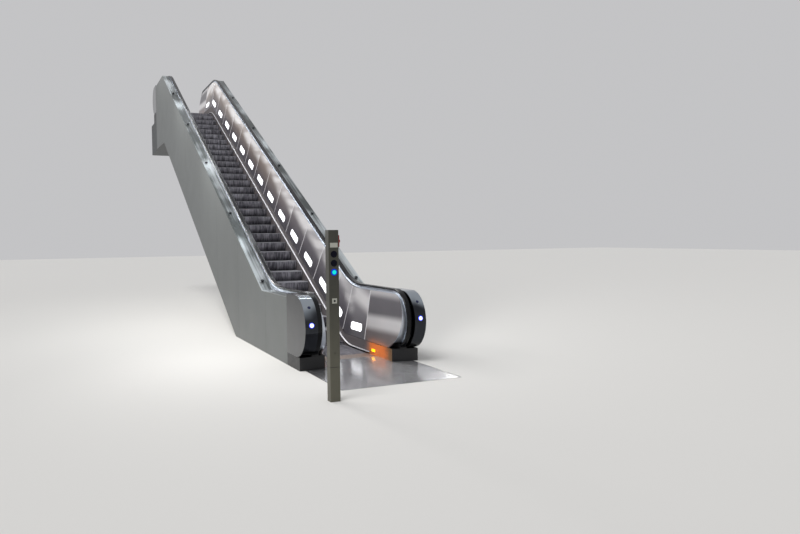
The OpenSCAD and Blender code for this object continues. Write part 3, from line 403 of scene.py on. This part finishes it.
CHEEK_Y, CHEEK_T = 0.453, 0.011
CHEEK_HEAD_X, CHEEK_HEAD_Z, CHEEK_NOSE, BOSS = (0.007, 0.392), -0.012, (0.042, 0.028), 0.02
AXLE_X, AXLE_DROP, WHEEL_R, WHEEL_W, WHEEL_GAP = (0.100, 0.340), 0.190, 0.038, 0.025, 0.002
TREAD_PLATE_X, TREAD_PLATE_Z, RISER_FRONT, RISER_BACK = (0.003, 0.400), (-0.014, -0.0102), 0.0062, 0.008


def riser_line(inset):
    """Places down the curved riser, that far behind the tips of its cleats."""
    radius = TREAD_DEPTH - inset
    return [(TREAD_DEPTH - radius * math.cos(a), -radius * math.sin(a)) for a in arc]


half_width = STEP_WIDTH / 2
body_parts = [
    block((TREAD_PLATE_X[0], -half_width, TREAD_PLATE_Z[0]),
          (TREAD_PLATE_X[1], half_width, TREAD_PLATE_Z[1])),
    bar_outline(riser_line(RISER_FRONT) + riser_line(RISER_BACK)[::-1], -half_width, half_width),
]
for side in (-1, 1):
    low, high = sorted((side * CHEEK_Y, side * (CHEEK_Y - CHEEK_T)))
    body_parts.append(bar_outline([
        (CHEEK_HEAD_X[0], CHEEK_HEAD_Z), (AXLE_X[0] - CHEEK_NOSE[0], -AXLE_DROP + BOSS),
        (AXLE_X[0] - CHEEK_NOSE[1], -AXLE_DROP - BOSS), (AXLE_X[1] + BOSS, -AXLE_DROP - BOSS),
        (CHEEK_HEAD_X[1], CHEEK_HEAD_Z)], low, high))
    front = sorted((side * (CHEEK_Y + WHEEL_GAP), side * (CHEEK_Y + WHEEL_GAP + WHEEL_W)))
    rear = sorted((side * (CHEEK_Y - CHEEK_T - WHEEL_GAP), side * (CHEEK_Y - CHEEK_T - WHEEL_GAP - WHEEL_W)))
    body_parts.append(wheel(AXLE_X[0], -AXLE_DROP, *front, WHEEL_R))
    body_parts.append(wheel(AXLE_X[1], -AXLE_DROP, *rear, WHEEL_R))
body = join_parts("step_body", *body_parts)

for name, first, count in (
        ("steps_lower", 0, END_STEPS),
        ("steps_slope", END_STEPS, STEP_COUNT - 2 * END_STEPS),
        ("steps_upper", STEP_COUNT - END_STEPS, END_STEPS)):
    seed = bpy.data.objects.new("step", cleats.data.copy())
    bpy.context.scene.collection.objects.link(seed)
    whole = bmesh.new()
    whole.from_mesh(cleats.data)
    whole.from_mesh(body.data)
    whole.to_mesh(seed.data)
    whole.free()
    piece = run_tree("ribbed_" + name, seed, row_up, {
        "Count": count, "Start": FIRST_NOSING + STEP_PITCH * first, "Pitch": STEP_PITCH,
        "Corner": 0.0, "Level": 0.0, "Lean": 0.0, "Lower radius": STEP_RADII[0],
        "Upper radius": STEP_RADII[1], "Finish": step_metal})
    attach(piece, "root")
    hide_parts(name)
bpy.data.objects.remove(cleats)
bpy.data.objects.remove(body)

# The landings: lift-out floor plates of grooved aluminium, a brownish comb plate, and a
# row of cast comb segments whose teeth stand in the grooves of the treads that pass below them.
floor_metal, place = new_finish("grooved floor plate")
x, y, z = place.parts()
worn = place.stretch(1.2, 4.0, 1.0).noise(1.6, 5.0, 0.6)
set_finish(floor_metal, {
    "Base Color": worn.blend(tint(178, 179, 182), tint(204, 204, 206)),
    "Metallic": 0.85, "Roughness": worn * 0.14 + 0.10,
    "Normal": place.noise(240.0, 2.0).bump(0.0002, 0.3),
})
coat(floor_metal, "floor_plates_lower", "floor_plates_upper")

comb_metal, place = new_finish("worn comb plate")
worn = place.stretch(6.0, 22.0, 1.0).noise(1.0, 5.0, 0.6)
set_finish(comb_metal, {
    "Base Color": worn.blend(tint(112, 98, 90), tint(150, 138, 130)),
    "Metallic": 0.8, "Roughness": worn * 0.3 + 0.28,
})
coat(comb_metal, "comb_plate_lower", "comb_plate_upper", "comb_segments_lower", "comb_segments_upper")

RIB_FOOT, RIB_TOP, RIB_PROUD, RIB_SUNK, RIB_PITCH = 0.0036, 0.0024, 0.0006, 0.0001, 0.008
PLATE_TOP, COMB_JOIN_Z, TOOTH_ROOT_Z = 0.012, 0.011, 0.0075
WIDE_HALF, NARROW_HALF = 0.7996, 0.5036
FLOOR_PLATES = ((1.304, 1.906, NARROW_HALF), (1.914, 2.571, WIDE_HALF), (2.579, 3.236, WIDE_HALF))
COMB_RIB_ENDS = ((0.974, TOOTH_ROOT_Z + 0.0002), (0.999, COMB_JOIN_Z),
                 (1.035, COMB_JOIN_Z + 0.0001), (1.296, PLATE_TOP))


def rib(x0, z0, x1, z1):
    """A low rib with sloped sides, run between two places on top of a plate."""
    section = [(-RIB_FOOT / 2, -RIB_SUNK), (-RIB_TOP / 2, RIB_PROUD), (RIB_TOP / 2, RIB_PROUD),
               (RIB_FOOT / 2, -RIB_SUNK)]
    verts = [(x, across, z + rise) for x, z in ((x0, z0), (x1, z1)) for across, rise in section]
    return verts, [(i, i + 4, i + 5, i + 1) for i in range(3)] + [(0, 1, 2, 3), (7, 6, 5, 4)]


for end, turn, level, name in ((0.0, -1, TREAD_LEVEL, "lower"), (UPPER_X, 1, TREAD_LEVEL + RISE, "upper")):
    for number, (near_x, far_x, half) in enumerate(FLOOR_PLATES):
        xs = sorted((end + turn * near_x, end + turn * far_x))
        seed = join_parts("rib", rib(xs[0], level + PLATE_TOP, xs[1], level + PLATE_TOP))
        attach(run_tree("floor_ribs_%s_%d" % (name, number), seed, row_across, {
            "Count": int(2 * half / RIB_PITCH) - 1, "Pitch": RIB_PITCH, "Finish": floor_metal}), "root")
    ends = [(end + turn * x, level + z) for x, z in COMB_RIB_ENDS]
    comb_ribs = [rib(*sum(sorted(pair), ())) for pair in (ends[:2], ends[2:])]
    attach(run_tree("comb_ribs_" + name, join_parts("rib", *comb_ribs), row_across, {
        "Count": CLEATS - 1, "Pitch": CLEAT_PITCH, "Finish": comb_metal}), "root")

# The skirts: steel sheets beside the steps with a slippery dark grey coat, screwed on in a row. The
# comb plates are held down by the same kind of countersunk screw.
skirt_steel, place = new_finish("coated skirt sheet")
x, y, z = place.parts()
streak = place.stretch(1.0, 60.0, 60.0).noise(1.0, 4.0, 0.6)
# The end sheets beside the lenses are tinted amber brown: a painted amber glow, added to the light of the
# amber lamps.
end_sheet_painted_glow = 1.0 - x.rise_over(-1.047, -1.045) + x.rise_over(UPPER_X + 1.045, UPPER_X + 1.047)
set_finish(skirt_steel, {
    "Base Color": end_sheet_painted_glow.blend(streak.blend(tint(84, 80, 82), tint(108, 103, 104)),
                                  streak.blend(tint(98, 78, 56), tint(124, 100, 74))),
    "Metallic": 0.1, "Roughness": streak * 0.2 + 0.40, "Specular IOR Level": 0.15,
})
coat(skirt_steel, "skirt_left", "skirt_right")
skirt_screw_steel, place = new_finish("skirt screw steel")
set_finish(skirt_screw_steel, {"Base Color": tint(58, 56, 58), "Metallic": 0.9,
                               "Roughness": place.noise(400.0, 2.0) * 0.2 + 0.3})
SKIRT_Y, SKIRT_TOP = 0.504, 0.190
COVER_SCREW_X, COVER_SCREW_H, COVER_T = (1.098, 1.260), 0.078, 0.002
SCREW_R, SCREW_PROUD, SCREW_SIDES = 0.0065, 0.0008, 10
SCREW_PITCH, SCREW_FLAT_H, SCREW_SLOPE_H, SCREW_ROW_X, SCREW_RADII = 0.25, 0.105, 0.130, 0.79, (1.2, 1.6)
END_SCREWS = ((1.641, 0.097), (1.641, 0.137), (1.691, 0.097), (1.691, 0.137))
COVER_SCREW_R, COMB_SCREW_R, COMB_SCREW_X = 0.009, 0.005, 1.017


def screw_head(x, face_y, z, side, radius=SCREW_R, proud=SCREW_PROUD):
    """A countersunk head with a hollow for the key, on a wall whose face looks towards the middle."""
    rings = [(radius, 0.0), (radius * 0.86, proud), (radius * 0.42, proud), (radius * 0.34, 0.0)]
    verts = [(x + r * math.cos(math.tau * i / SCREW_SIDES), face_y - side * rise,
              z + r * math.sin(math.tau * i / SCREW_SIDES)) for r, rise in rings for i in range(SCREW_SIDES)]
    faces = [(k * SCREW_SIDES + i, k * SCREW_SIDES + (i + 1) % SCREW_SIDES,
              (k + 1) * SCREW_SIDES + (i + 1) % SCREW_SIDES, (k + 1) * SCREW_SIDES + i)
             for k in range(len(rings) - 1) for i in range(SCREW_SIDES)]
    faces.append(tuple(range(3 * SCREW_SIDES, 4 * SCREW_SIDES)))
    return verts, [face if side > 0 else face[::-1] for face in faces]


def row_reach(x0, x1, corner, low_r, up_r, pitch):
    """Start and count of a row along a line up the stairs, between two places on the landings."""
    low_tan, up_tan = low_r * math.tan(SLOPE / 2), up_r * math.tan(SLOPE / 2)
    whole = (low_r + up_r) * SLOPE + SLOPE_LEN - low_tan - up_tan
    start = x0 - corner + low_tan
    return start, int((whole + x1 - RUN - corner - up_tan - start) / pitch) + 1


corner = (SCREW_FLAT_H - SCREW_SLOPE_H) / math.tan(SLOPE)
start, count = row_reach(-SCREW_ROW_X, UPPER_X + SCREW_ROW_X, corner, *SCREW_RADII, SCREW_PITCH)
for side, name in ((1, "skirt_screws_left"), (-1, "skirt_screws_right")):
    seed = join_parts("screw", screw_head(0.0, side * SKIRT_Y, 0.0, side))
    piece = run_tree(name, seed, row_up, {
        "Count": count, "Start": start, "Pitch": SCREW_PITCH, "Corner": corner, "Level": SCREW_FLAT_H,
        "Lower radius": SCREW_RADII[0], "Upper radius": SCREW_RADII[1], "Lean": 1.0,
        "Finish": skirt_screw_steel})
    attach(piece, "root")
    end_screws = []
    for end, turn, level in ((0.0, -1, TREAD_LEVEL), (UPPER_X, 1, TREAD_LEVEL + RISE)):
        for x, z in END_SCREWS:
            end_screws.append(screw_head(end + turn * x, side * SKIRT_Y, level + z, side))
        for x in COVER_SCREW_X:
            end_screws.append(screw_head(end + turn * x, side * (SKIRT_Y - COVER_T), level + COVER_SCREW_H,
                                         side, COVER_SCREW_R))
    piece = join_parts("end_" + name, *end_screws)
    piece.data.materials.append(skirt_screw_steel)
    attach(piece, "root")

comb_screws = []
for end, turn, level in ((0.0, -1, TREAD_LEVEL), (UPPER_X, 1, TREAD_LEVEL + RISE)):
    for y in [0.2 * k + side * 0.06 for k in (-2, -1, 0, 1, 2) for side in (-1, 1)]:
        verts, faces = screw_head(0.0, 0.0, 0.0, 1, COMB_SCREW_R)
        laid = [(end + turn * COMB_SCREW_X + vx, y + vz, level + COMB_JOIN_Z - vy) for vx, vy, vz in verts]
        comb_screws.append((laid, faces))
piece = join_parts("comb_screws", *comb_screws)
piece.data.materials.append(skirt_screw_steel)
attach(piece, "root")

# The brush deflectors: an extruded aluminium rail along each skirt, with a row of stiff nylon
# bristles hanging from it over the edge of the steps.
rail_metal, place = new_finish("bright rail extrusion")
streak = place.stretch(2.0, 200.0, 200.0).noise(1.0, 3.0)
set_finish(rail_metal, {
    "Base Color": streak.blend(tint(196, 196, 200), tint(222, 222, 226)),
    "Metallic": 1.0, "Roughness": streak * 0.14 + 0.28,
})
coat(rail_metal, "brush_rail_left", "brush_rail_right")
bristle, place = new_finish("nylon bristles")
shade = place.noise(300.0, 2.0)
set_finish(bristle, {"Base Color": shade.blend(tint(14, 14, 16), tint(34, 33, 35)), "Roughness": 0.55})
BRUSH_FLAT_H, BRUSH_SLOPE_H, BRUSH_RADII, BRUSH_END_X = 0.030, 0.067, (1.2, 1.6), 1.025
TUFT_PITCH, TUFT_Y, BRISTLE_LENGTH, BRISTLE_R = 0.0055, 0.4925, 0.0195, 0.0011
BRISTLES = ((-0.0013, -0.0022, -0.0014), (0.0013, -0.0007, 0.0010), (-0.0011, 0.0009, 0.0002),
            (0.0014, 0.0023, 0.0012))


def bristle_tuft(side):
    """Four tapering bristles, each at its own place in the tuft and with its own lean."""
    verts, faces = [], []
    for dx, dy, fan in BRISTLES:
        base = len(verts)
        for depth, radius, spread in ((0.0, BRISTLE_R, 0.0), (-BRISTLE_LENGTH, BRISTLE_R * 0.5, 1.0)):
            for corner_x, corner_y in ((1, 0), (-0.5, 0.87), (-0.5, -0.87)):
                verts.append((dx + corner_x * radius + fan * spread,
                              side * (TUFT_Y + dy) + corner_y * radius + fan * spread, depth))
        faces += [(base + i, base + i + 3, base + (i + 1) % 3 + 3, base + (i + 1) % 3) for i in range(3)]
        faces.append((base + 5, base + 4, base + 3))
    return verts, faces


corner = (BRUSH_FLAT_H - BRUSH_SLOPE_H) / math.tan(SLOPE)
start, count = row_reach(-BRUSH_END_X, UPPER_X + BRUSH_END_X, corner, *BRUSH_RADII, TUFT_PITCH)
for side, name in ((1, "brush_left"), (-1, "brush_right")):
    piece = run_tree("bristles_" + name, join_parts("tuft", bristle_tuft(side)), row_up, {
        "Count": count, "Start": start, "Pitch": TUFT_PITCH, "Corner": corner, "Level": BRUSH_FLAT_H,
        "Lower radius": BRUSH_RADII[0], "Upper radius": BRUSH_RADII[1], "Lean": 1.0, "Finish": bristle})
    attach(piece, "root")
    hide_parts(name)

# The inner panels: leaning sheets of ground stainless steel, with a thin polished strip folded over
# each joint between two sheets.
PANEL_LEN, FIRST_JOINT, LANDING_JOINT_X = 0.9638, 0.923, 0.820
panel_steel, place = new_finish("ground panel steel")
x, y, z = place.parts()
along = x * math.cos(SLOPE) + (z - TREAD_LEVEL) * math.sin(SLOPE)
on_slope = x.rise_over(-0.3, 0.2) * (1.0 - x.rise_over(RUN - 0.2, RUN + 0.3))
above = z - TREAD_LEVEL - (x * math.tan(SLOPE)).limit(0.0, RISE)
height = above * (1.0 - on_slope * (1.0 - math.cos(SLOPE)))
number = along.maths("FLOOR", (along - FIRST_JOINT) / PANEL_LEN)
past_joint = ((along - FIRST_JOINT) / PANEL_LEN - number) * on_slope
own = number.node("ShaderNodeTexWhiteNoise", {"noise_dimensions": "1D"},
                  {"W": number * on_slope + y.maths("SIGN", y)})
grain = place.node("ShaderNodeCombineXYZ", None, {
    "X": x * 2.2, "Y": y * 2.0, "Z": above * 420.0}).noise(1.0, 3.0, 0.6)
smear = place.noise(3.2, 4.0, 0.6)
# Painted reflections of the lamps: a bright band along the head of each sheet, shifted at each joint and
# streaked on the slant, painted bands across the end and landing sheets, and painted shade that darkens the
# sheets towards their foot.
highlight_slant = place.node("ShaderNodeCombineXYZ", None, {
    "X": along * 1.7 + height * 4.4, "Y": y, "Z": height * 0.6 - along * 0.25}).noise(1.2, 1.5, 0.4)
highlight_swell = place.node("ShaderNodeCombineXYZ", None, {
    "X": along * 0.9, "Y": y, "Z": height * 0.5}).noise(1.0, 2.0)
lit_head = (height + (highlight_swell - 0.5) * 0.25 + (own - 0.5) * 0.08
            - (past_joint - 0.5) * 0.10).rise_over(0.56, 0.78)
highlight_streaks = highlight_slant.rise_over(0.34, 0.62) * 0.62 + 0.38
past_end = x.maths("MAXIMUM", x * -1.0, x - UPPER_X)
at_end = past_end.rise_over(LANDING_JOINT_X - 0.0002, LANDING_JOINT_X + 0.0002)
on_landing = past_end.rise_over(0.05, 0.35) * (1.0 - at_end)
end_highlight_band = 1.0 - height.maths("ABSOLUTE", height - past_end * 0.03 - 0.46).rise_over(0.04, 0.16)
end_highlight_band = end_highlight_band.maths("MAXIMUM", end_highlight_band * 0.8, height.rise_over(0.84, 0.96) * 0.6)
landing_highlight_band = 0.9 - height.maths("ABSOLUTE", height + past_end * 0.25 - 0.95).rise_over(0.03, 0.22) * 0.8
bright = at_end * end_highlight_band + on_landing * landing_highlight_band + (1.0 - at_end - on_landing) * lit_head * highlight_streaks
warm_reflection_tint = x.rise_over(1.5, 6.0).blend(tint(148, 144, 150), tint(158, 142, 130))
painted_shade_colour = height.rise_over(0.25, 0.85).blend(tint(90, 86, 94), warm_reflection_tint)
painted_shade_colour = at_end.blend(painted_shade_colour, height.rise_over(0.32, 0.55).blend(tint(136, 127, 127), tint(112, 109, 114)))
set_finish(panel_steel, {
    "Base Color": (bright + smear * 0.06).limit(0.0, 1.0).blend(painted_shade_colour, tint(252, 250, 250)),
    "Metallic": 0.6, "Roughness": grain * 0.08 + smear * 0.06 + 0.26,
    "Normal": place.noise(0.9, 1.0).bump(0.004, 0.4),
})
coat(panel_steel, "inner_panels_left", "inner_panels_right")
joint_steel, place = new_finish("polished joint strip")
set_finish(joint_steel, {"Base Color": tint(244, 242, 244), "Metallic": 0.3,
                         "Roughness": place.noise(60.0, 3.0) * 0.1 + 0.3})
PANEL_LOW, PANEL_TOP, PANEL_FOOT_Y, PANEL_HEAD_Y = 0.194, 0.965, 0.510, 0.625
PANEL_LEAN = (PANEL_HEAD_Y - PANEL_FOOT_Y) / (PANEL_TOP - SKIRT_TOP)
LOW_JOINT_H, UP_JOINT_H = 0.720, 0.300
STRIP_W, STRIP_PROUD, STRIP_BACK = 0.014, 0.0015, 0.006
STRIP_ENDS = (PANEL_LOW + 0.004, PANEL_TOP - 0.004)
LOW_BEND_HEIGHTS, UP_BEND_HEIGHTS = (0.257, LOW_JOINT_H, 0.994), (0.199, UP_JOINT_H, 0.869)


def joint_strip(stations, side):
    """A folded strip over a joint of two panels, through places (x, z, height on the leaning face)."""
    verts = []
    for x, z, height in stations:
        face = PANEL_FOOT_Y + (height - SKIRT_TOP) * PANEL_LEAN
        for dx, proud in ((-STRIP_W / 2, -STRIP_BACK), (-STRIP_W / 2, STRIP_PROUD),
                          (STRIP_W / 2, STRIP_PROUD), (STRIP_W / 2, -STRIP_BACK)):
            verts.append((x + dx, side * (face - proud), z))
    faces = [(3, 2, 1, 0)] + [(k + i, k + (i + 1) % 4, k + (i + 1) % 4 + 4, k + i + 4)
                              for k in range(0, 4 * len(stations) - 4, 4) for i in range(4)]
    faces.append(tuple(range(len(verts) - 4, len(verts))))
    return verts, [face if side > 0 else face[::-1] for face in faces]


def bend_stations(crossing, heights):
    """Places on a joint that leans back by half the slope and crosses the bend at one height."""
    places = [((crossing - h) * math.tan(SLOPE / 2), h) for h in heights]
    return [(x, h, h - max(x, 0.0) * math.tan(SLOPE)) for x, h in places]


joint_count = int((SLOPE_LEN - FIRST_JOINT) / PANEL_LEN) + 1
for side, name in ((1, "left"), (-1, "right")):
    slope_strip = joint_strip([(0.0, h * math.cos(SLOPE), h) for h in STRIP_ENDS], side)
    piece = run_tree("slope_joints_" + name, join_parts("joint", slope_strip), row_up, {
        "Count": joint_count, "Start": FIRST_JOINT, "Pitch": PANEL_LEN, "Corner": 0.0, "Level": 0.0,
        "Lower radius": 0.001, "Upper radius": 0.001, "Lean": 1.0, "Finish": joint_steel})
    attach(piece, "root")
    landing_strips = []
    for x0, level, stations in (
            (-LANDING_JOINT_X, 0.0, [(0.0, h, h) for h in STRIP_ENDS]),
            (0.0, 0.0, bend_stations(LOW_JOINT_H, LOW_BEND_HEIGHTS)),
            (RUN, RISE, bend_stations(UP_JOINT_H, UP_BEND_HEIGHTS)),
            (UPPER_X + LANDING_JOINT_X, RISE, [(0.0, h, h) for h in STRIP_ENDS])):
        placed = [(x0 + x, TREAD_LEVEL + level + z, h) for x, z, h in stations]
        landing_strips.append(joint_strip(placed, side))
    piece = join_parts("landing_joints_" + name, *landing_strips)
    piece.data.materials.append(joint_steel)
    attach(piece, "root")

# The panel lights: moulded opal covers, lit from behind, clipped into cut-outs with round corners.
light_cover, place = new_finish("lit opal cover")
set_finish(light_cover, {
    "Base Color": tint(236, 238, 240), "Roughness": 0.4,
    "Emission Color": tint(250, 252, 255), "Emission Strength": 1.7,
})
coat(light_cover, "panel_lights_left", "panel_lights_right")

# The outer decks: satin steel trays along the outside of the handrails, with turned stops on them.
deck_steel, place = new_finish("satin deck steel")
x, y, z = place.parts()
above = z - TREAD_LEVEL - (x * math.tan(SLOPE)).limit(0.0, RISE)
grain = place.node("ShaderNodeCombineXYZ", None, {
    "X": x * 0.8, "Y": y * 30.0, "Z": above * 30.0}).noise(1.0, 3.0)
# Painted reflections: broad bright and dark patches along the decks, streaked by the grain.
reflection_patch = place.node("ShaderNodeCombineXYZ", None, {"X": x * 0.75, "Y": y * 1.3, "Z": above}).noise(1.0, 2.0)
painted_reflection_patches = (grain * 0.22 + reflection_patch * 0.78).rise_over(0.44, 0.64)
set_finish(deck_steel, {
    "Base Color": painted_reflection_patches.blend(tint(78, 83, 83), tint(210, 217, 220)),
    "Metallic": 0.9, "Roughness": grain * 0.10 + 0.26,
})
coat(deck_steel, "outer_deck_left", "outer_deck_right")
knob, place = new_finish("turned deck stop")
set_finish(knob, {"Base Color": tint(46, 48, 52), "Metallic": 0.9,
                  "Roughness": place.noise(60.0, 3.0) * 0.2 + 0.25})
coat(knob, "deck_knobs")

# The cladding: painted sheets on the outer sides and below, with fine seams and a row of sunk screws
# beside each seam.
SHEET_LEN, FIRST_SHEET, CLAD_SCREW_IN, CLAD_SCREW_PITCH, CLAD_SCREW_R = 1.8, -0.2, 0.028, 0.30, 0.006
clad_steel, place = new_finish("painted cladding sheet")
x, y, z = place.parts()
mottle = place.noise(2.0, 4.0)
above = z - TREAD_LEVEL - (x * math.tan(SLOPE)).limit(0.0, RISE)
past_seam = (x - FIRST_SHEET).maths("PINGPONG", x - FIRST_SHEET, SHEET_LEN / 2)
seam = 1.0 - past_seam.rise_over(0.0022, 0.0032)
to_column = past_seam - CLAD_SCREW_IN
to_row = above.maths("PINGPONG", above + 3.0, CLAD_SCREW_PITCH / 2)
to_screw = x.maths("SQRT", to_column * to_column + to_row * to_row)
screw_ring = to_screw.rise_over(CLAD_SCREW_R - 0.0022, CLAD_SCREW_R - 0.001) * (1.0 - to_screw.rise_over(
    CLAD_SCREW_R, CLAD_SCREW_R + 0.001))
gap = (seam + screw_ring).limit(0.0, 1.0)
set_finish(clad_steel, {
    "Base Color": gap.blend(mottle.blend(tint(92, 96, 96), tint(108, 111, 110)), tint(34, 36, 36)),
    "Metallic": 0.3, "Roughness": mottle * 0.2 + 0.32,
    "Normal": (place.noise(300.0, 2.0) * 0.1 - gap).bump(0.0012, 0.6),
})
coat(clad_steel, "casing_left", "casing_right", "soffit")

# The handrails: black rubber over a woven core, running on a bright stainless guide.
guide_steel, place = new_finish("bright guide steel")
streak = place.noise(26.0, 4.0)
set_finish(guide_steel, {
    "Base Color": streak.blend(tint(196, 202, 212), tint(222, 227, 234)),
    "Metallic": 1.0, "Roughness": streak * 0.10 + 0.34,
})
coat(guide_steel, "handrail_guide_left", "handrail_guide_right")
rubber, place = new_finish("handrail rubber")
polish = place.noise(12.0, 5.0, 0.6)
set_finish(rubber, {
    "Base Color": polish.blend(tint(9, 10, 12), tint(20, 21, 24)), "Roughness": polish * 0.06 + 0.14,
    "Specular IOR Level": 0.22,
    "Normal": place.noise(300.0, 2.0).bump(0.0002, 0.1),
})
coat(rubber, "handrail_left", "handrail_right")

# The newels: drum shaped end hoods of dark polished steel with two round lamps each, on black painted
# bases. Beside them, an amber lens in each end of the skirts marks where the steps begin.
hood_steel, place = new_finish("dark polished steel")
smear = place.noise(7.0, 4.0, 0.6)
x, y, z = place.parts()
level = z - TREAD_LEVEL - (z - TREAD_LEVEL).rise_over(3.0, 3.1) * RISE
HOOD_MIDDLE_Y, HOOD_HALF_W = 0.7985, 0.0862
off_middle = x.maths("ABSOLUTE", x.maths("ABSOLUTE", y) - HOOD_MIDDLE_Y)
# A painted highlight lies along the top of each hood.
painted_crown_highlight = (level + (place.noise(3.0, 1.0) - 0.5) * 0.3).rise_over(0.74, 0.92) * (
    1.0 - off_middle.rise_over(HOOD_HALF_W - 0.0004, HOOD_HALF_W))
set_finish(hood_steel, {
    "Base Color": painted_crown_highlight.blend(smear.blend(tint(40, 42, 46), tint(66, 68, 73)), tint(168, 176, 184)),
    "Metallic": 1.0, "Roughness": smear * 0.08 + 0.05,
})
coat(hood_steel, "newel_hoods_left", "newel_hoods_right")
base_paint, place = new_finish("black base paint")
mottle = place.noise(30.0, 4.0)
set_finish(base_paint, {"Base Color": mottle.blend(tint(12, 12, 14), tint(26, 26, 28)),
                        "Roughness": mottle * 0.25 + 0.3})
coat(base_paint, "newel_bases")
inlet_rubber, place = new_finish("inlet rubber")
set_finish(inlet_rubber, {"Base Color": tint(18, 18, 20), "Roughness": place.noise(60.0, 3.0) * 0.2 + 0.5})
coat(inlet_rubber, "handrail_inlets")
lamp_clear, place = new_finish("lit hood lamp")
x, y, z = place.parts()
upper_half = (z - TREAD_LEVEL - 3.0).rise_over(0.0, 0.1)
low_lit = (z - TREAD_LEVEL - 0.78).rise_over(0.0, 0.01)
high_lit = (z - TREAD_LEVEL - RISE - 0.78).rise_over(0.0, 0.01)
dark_lens = low_lit * (1.0 - upper_half) + high_lit * upper_half
HOOD_CENTRE_H, HOOD_R, HOOD_LAMP_ANGLE = 0.603, 0.415, math.radians(6.5)
HOOD_LAMP_Z = TREAD_LEVEL + HOOD_CENTRE_H + HOOD_R * math.sin(HOOD_LAMP_ANGLE)
aside = x.maths("ABSOLUTE", y) - HOOD_MIDDLE_Y
height = z - HOOD_LAMP_Z - upper_half * RISE
from_middle = x.maths("SQRT", aside * aside + height * height)
rim = from_middle.rise_over(0.021, 0.031)
set_finish(lamp_clear, {
    "Base Color": dark_lens.blend(rim.blend(tint(235, 240, 255), tint(40, 70, 250)), tint(14, 22, 60)),
    "Roughness": 0.12, "Emission Strength": 1.2,
    "Emission Color": dark_lens.blend(rim.blend(tint(235, 240, 255), tint(20, 50, 250)), tint(0, 0, 0))})
coat(lamp_clear, "hood_lamps")
lamp_amber, place = new_finish("lit skirt lens")
x, y, z = place.parts()
GLOW_X, GLOW_Z, GLOW_HALF_L, GLOW_HALF_H = 1.179, 0.078, 0.060, 0.017
BEAM_H, BEAM_DROP, BEAM_PAST, BEAM_SIZE, BEAM_SPREAD = 0.26, 0.17, 0.15, (0.60, 0.04), math.radians(46)
RIGHT_BEAM_POWER, LEFT_BEAM_POWER, AMBER = 2.0, 0.6, (1.0, 0.27, 0.006)


def near(value, middle, half):
    """1 within that half width of a value, and 0 outside."""
    return 1.0 - value.maths("ABSOLUTE", value - middle).rise_over(half - 0.0002, half + 0.0002)


lens_face = (near(x, -GLOW_X, GLOW_HALF_L) * near(z, TREAD_LEVEL + GLOW_Z, GLOW_HALF_H)
             + near(x, UPPER_X + GLOW_X, GLOW_HALF_L) * near(z, TREAD_LEVEL + RISE + GLOW_Z, GLOW_HALF_H))
# Outside the lens face the housing is tinted amber brown: a painted amber glow from the lens.
set_finish(lamp_amber, {
    "Base Color": lens_face.blend(tint(112, 90, 66), tint(120, 60, 4)),
    "Metallic": 0.1, "Roughness": place.stretch(1.0, 60.0, 60.0).noise(1.0, 4.0) * 0.2 + 0.3,
    "Emission Color": lens_face.blend(tint(0, 0, 0), tint(255, 172, 6)), "Emission Strength": 4.5})
for end, direction, level in ((0.0, -1, 0.0), (UPPER_X, 1, RISE)):
    for side in (-1, 1):
        glow = (end + direction * (GLOW_X + BEAM_PAST), 0.0, TREAD_LEVEL + level + BEAM_H)
        beam = hang_lamp("skirt_glow", glow, (glow[0], -side * SKIRT_Y, glow[2] - BEAM_DROP), *BEAM_SIZE,
                         RIGHT_BEAM_POWER if side > 0 else LEFT_BEAM_POWER, AMBER)
        beam.visible_glossy = False
        beam.data.spread = BEAM_SPREAD
coat(lamp_amber, "skirt_lights")

# The signal post: a folded steel box column bolted to the floor slab, with three lamps, a blank
# plate and a key switch on its front and a stop button on its side.
post_paint, place = new_finish("grey post paint")
x, y, z = place.parts()
mottle = place.noise(14.0, 4.0)
# Painted shade: the post is darker towards its top and lighter near the floor, mixed with a random mottle.
painted_shade_and_mottle = z.rise_over(TREAD_LEVEL + 1.3, TREAD_LEVEL + 0.2) * 0.7 + mottle * 0.3
SEAM_H = 0.390
seam = near(z, TREAD_LEVEL + SEAM_H, 0.0025)
set_finish(post_paint, {
    "Base Color": seam.blend(painted_shade_and_mottle.blend(tint(54, 54, 48), tint(96, 94, 81)), tint(34, 34, 30)),
    "Metallic": 0.3, "Roughness": mottle * 0.2 + 0.35,
    "Normal": place.noise(500.0, 2.0).bump(0.0002, 0.4),
})
coat(post_paint, "signal_post")
lamp_blue, place = new_finish("blue signal lens")
x, y, z = place.parts()
LIT_LAMP_Z, POST_Y = TREAD_LEVEL + 1.421, 1.067
aside, height = y - POST_Y, z - LIT_LAMP_Z
reach = (aside * aside + height * height).maths("SQRT", aside * aside + height * height)
lit = reach.rise_over(0.018, 0.027).blend(tint(16, 236, 216), tint(10, 40, 196))
dark_lamp = height.rise_over(0.045, 0.046)
set_finish(lamp_blue, {
    "Base Color": dark_lamp.blend(tint(4, 20, 60), tint(5, 5, 22)),
    "Roughness": 0.15, "Specular IOR Level": 0.12,
    "Emission Color": dark_lamp.blend(lit, tint(0, 0, 0)), "Emission Strength": 1.0,
})
coat(lamp_blue, "post_lamps")
plate_metal, place = new_finish("blank plate metal")
x, y, z = place.parts()
KEY_H = 1.111
aside, height = y - POST_Y, z - TREAD_LEVEL - KEY_H
key_reach = (aside * aside + height * height).maths("SQRT", aside * aside + height * height)
keyhole = 1.0 - key_reach.rise_over(0.0115, 0.0125)
set_finish(plate_metal, {"Base Color": keyhole.blend(tint(176, 176, 166), tint(24, 24, 24)), "Metallic": 0.4,
                         "Roughness": place.noise(90.0, 3.0) * 0.2 + 0.3})
coat(plate_metal, "post_plates")
button_red, place = new_finish("red button plastic")
set_finish(button_red, {"Base Color": tint(140, 22, 18), "Roughness": place.noise(80.0, 3.0) * 0.1 + 0.28})
coat(button_red, "stop_button")
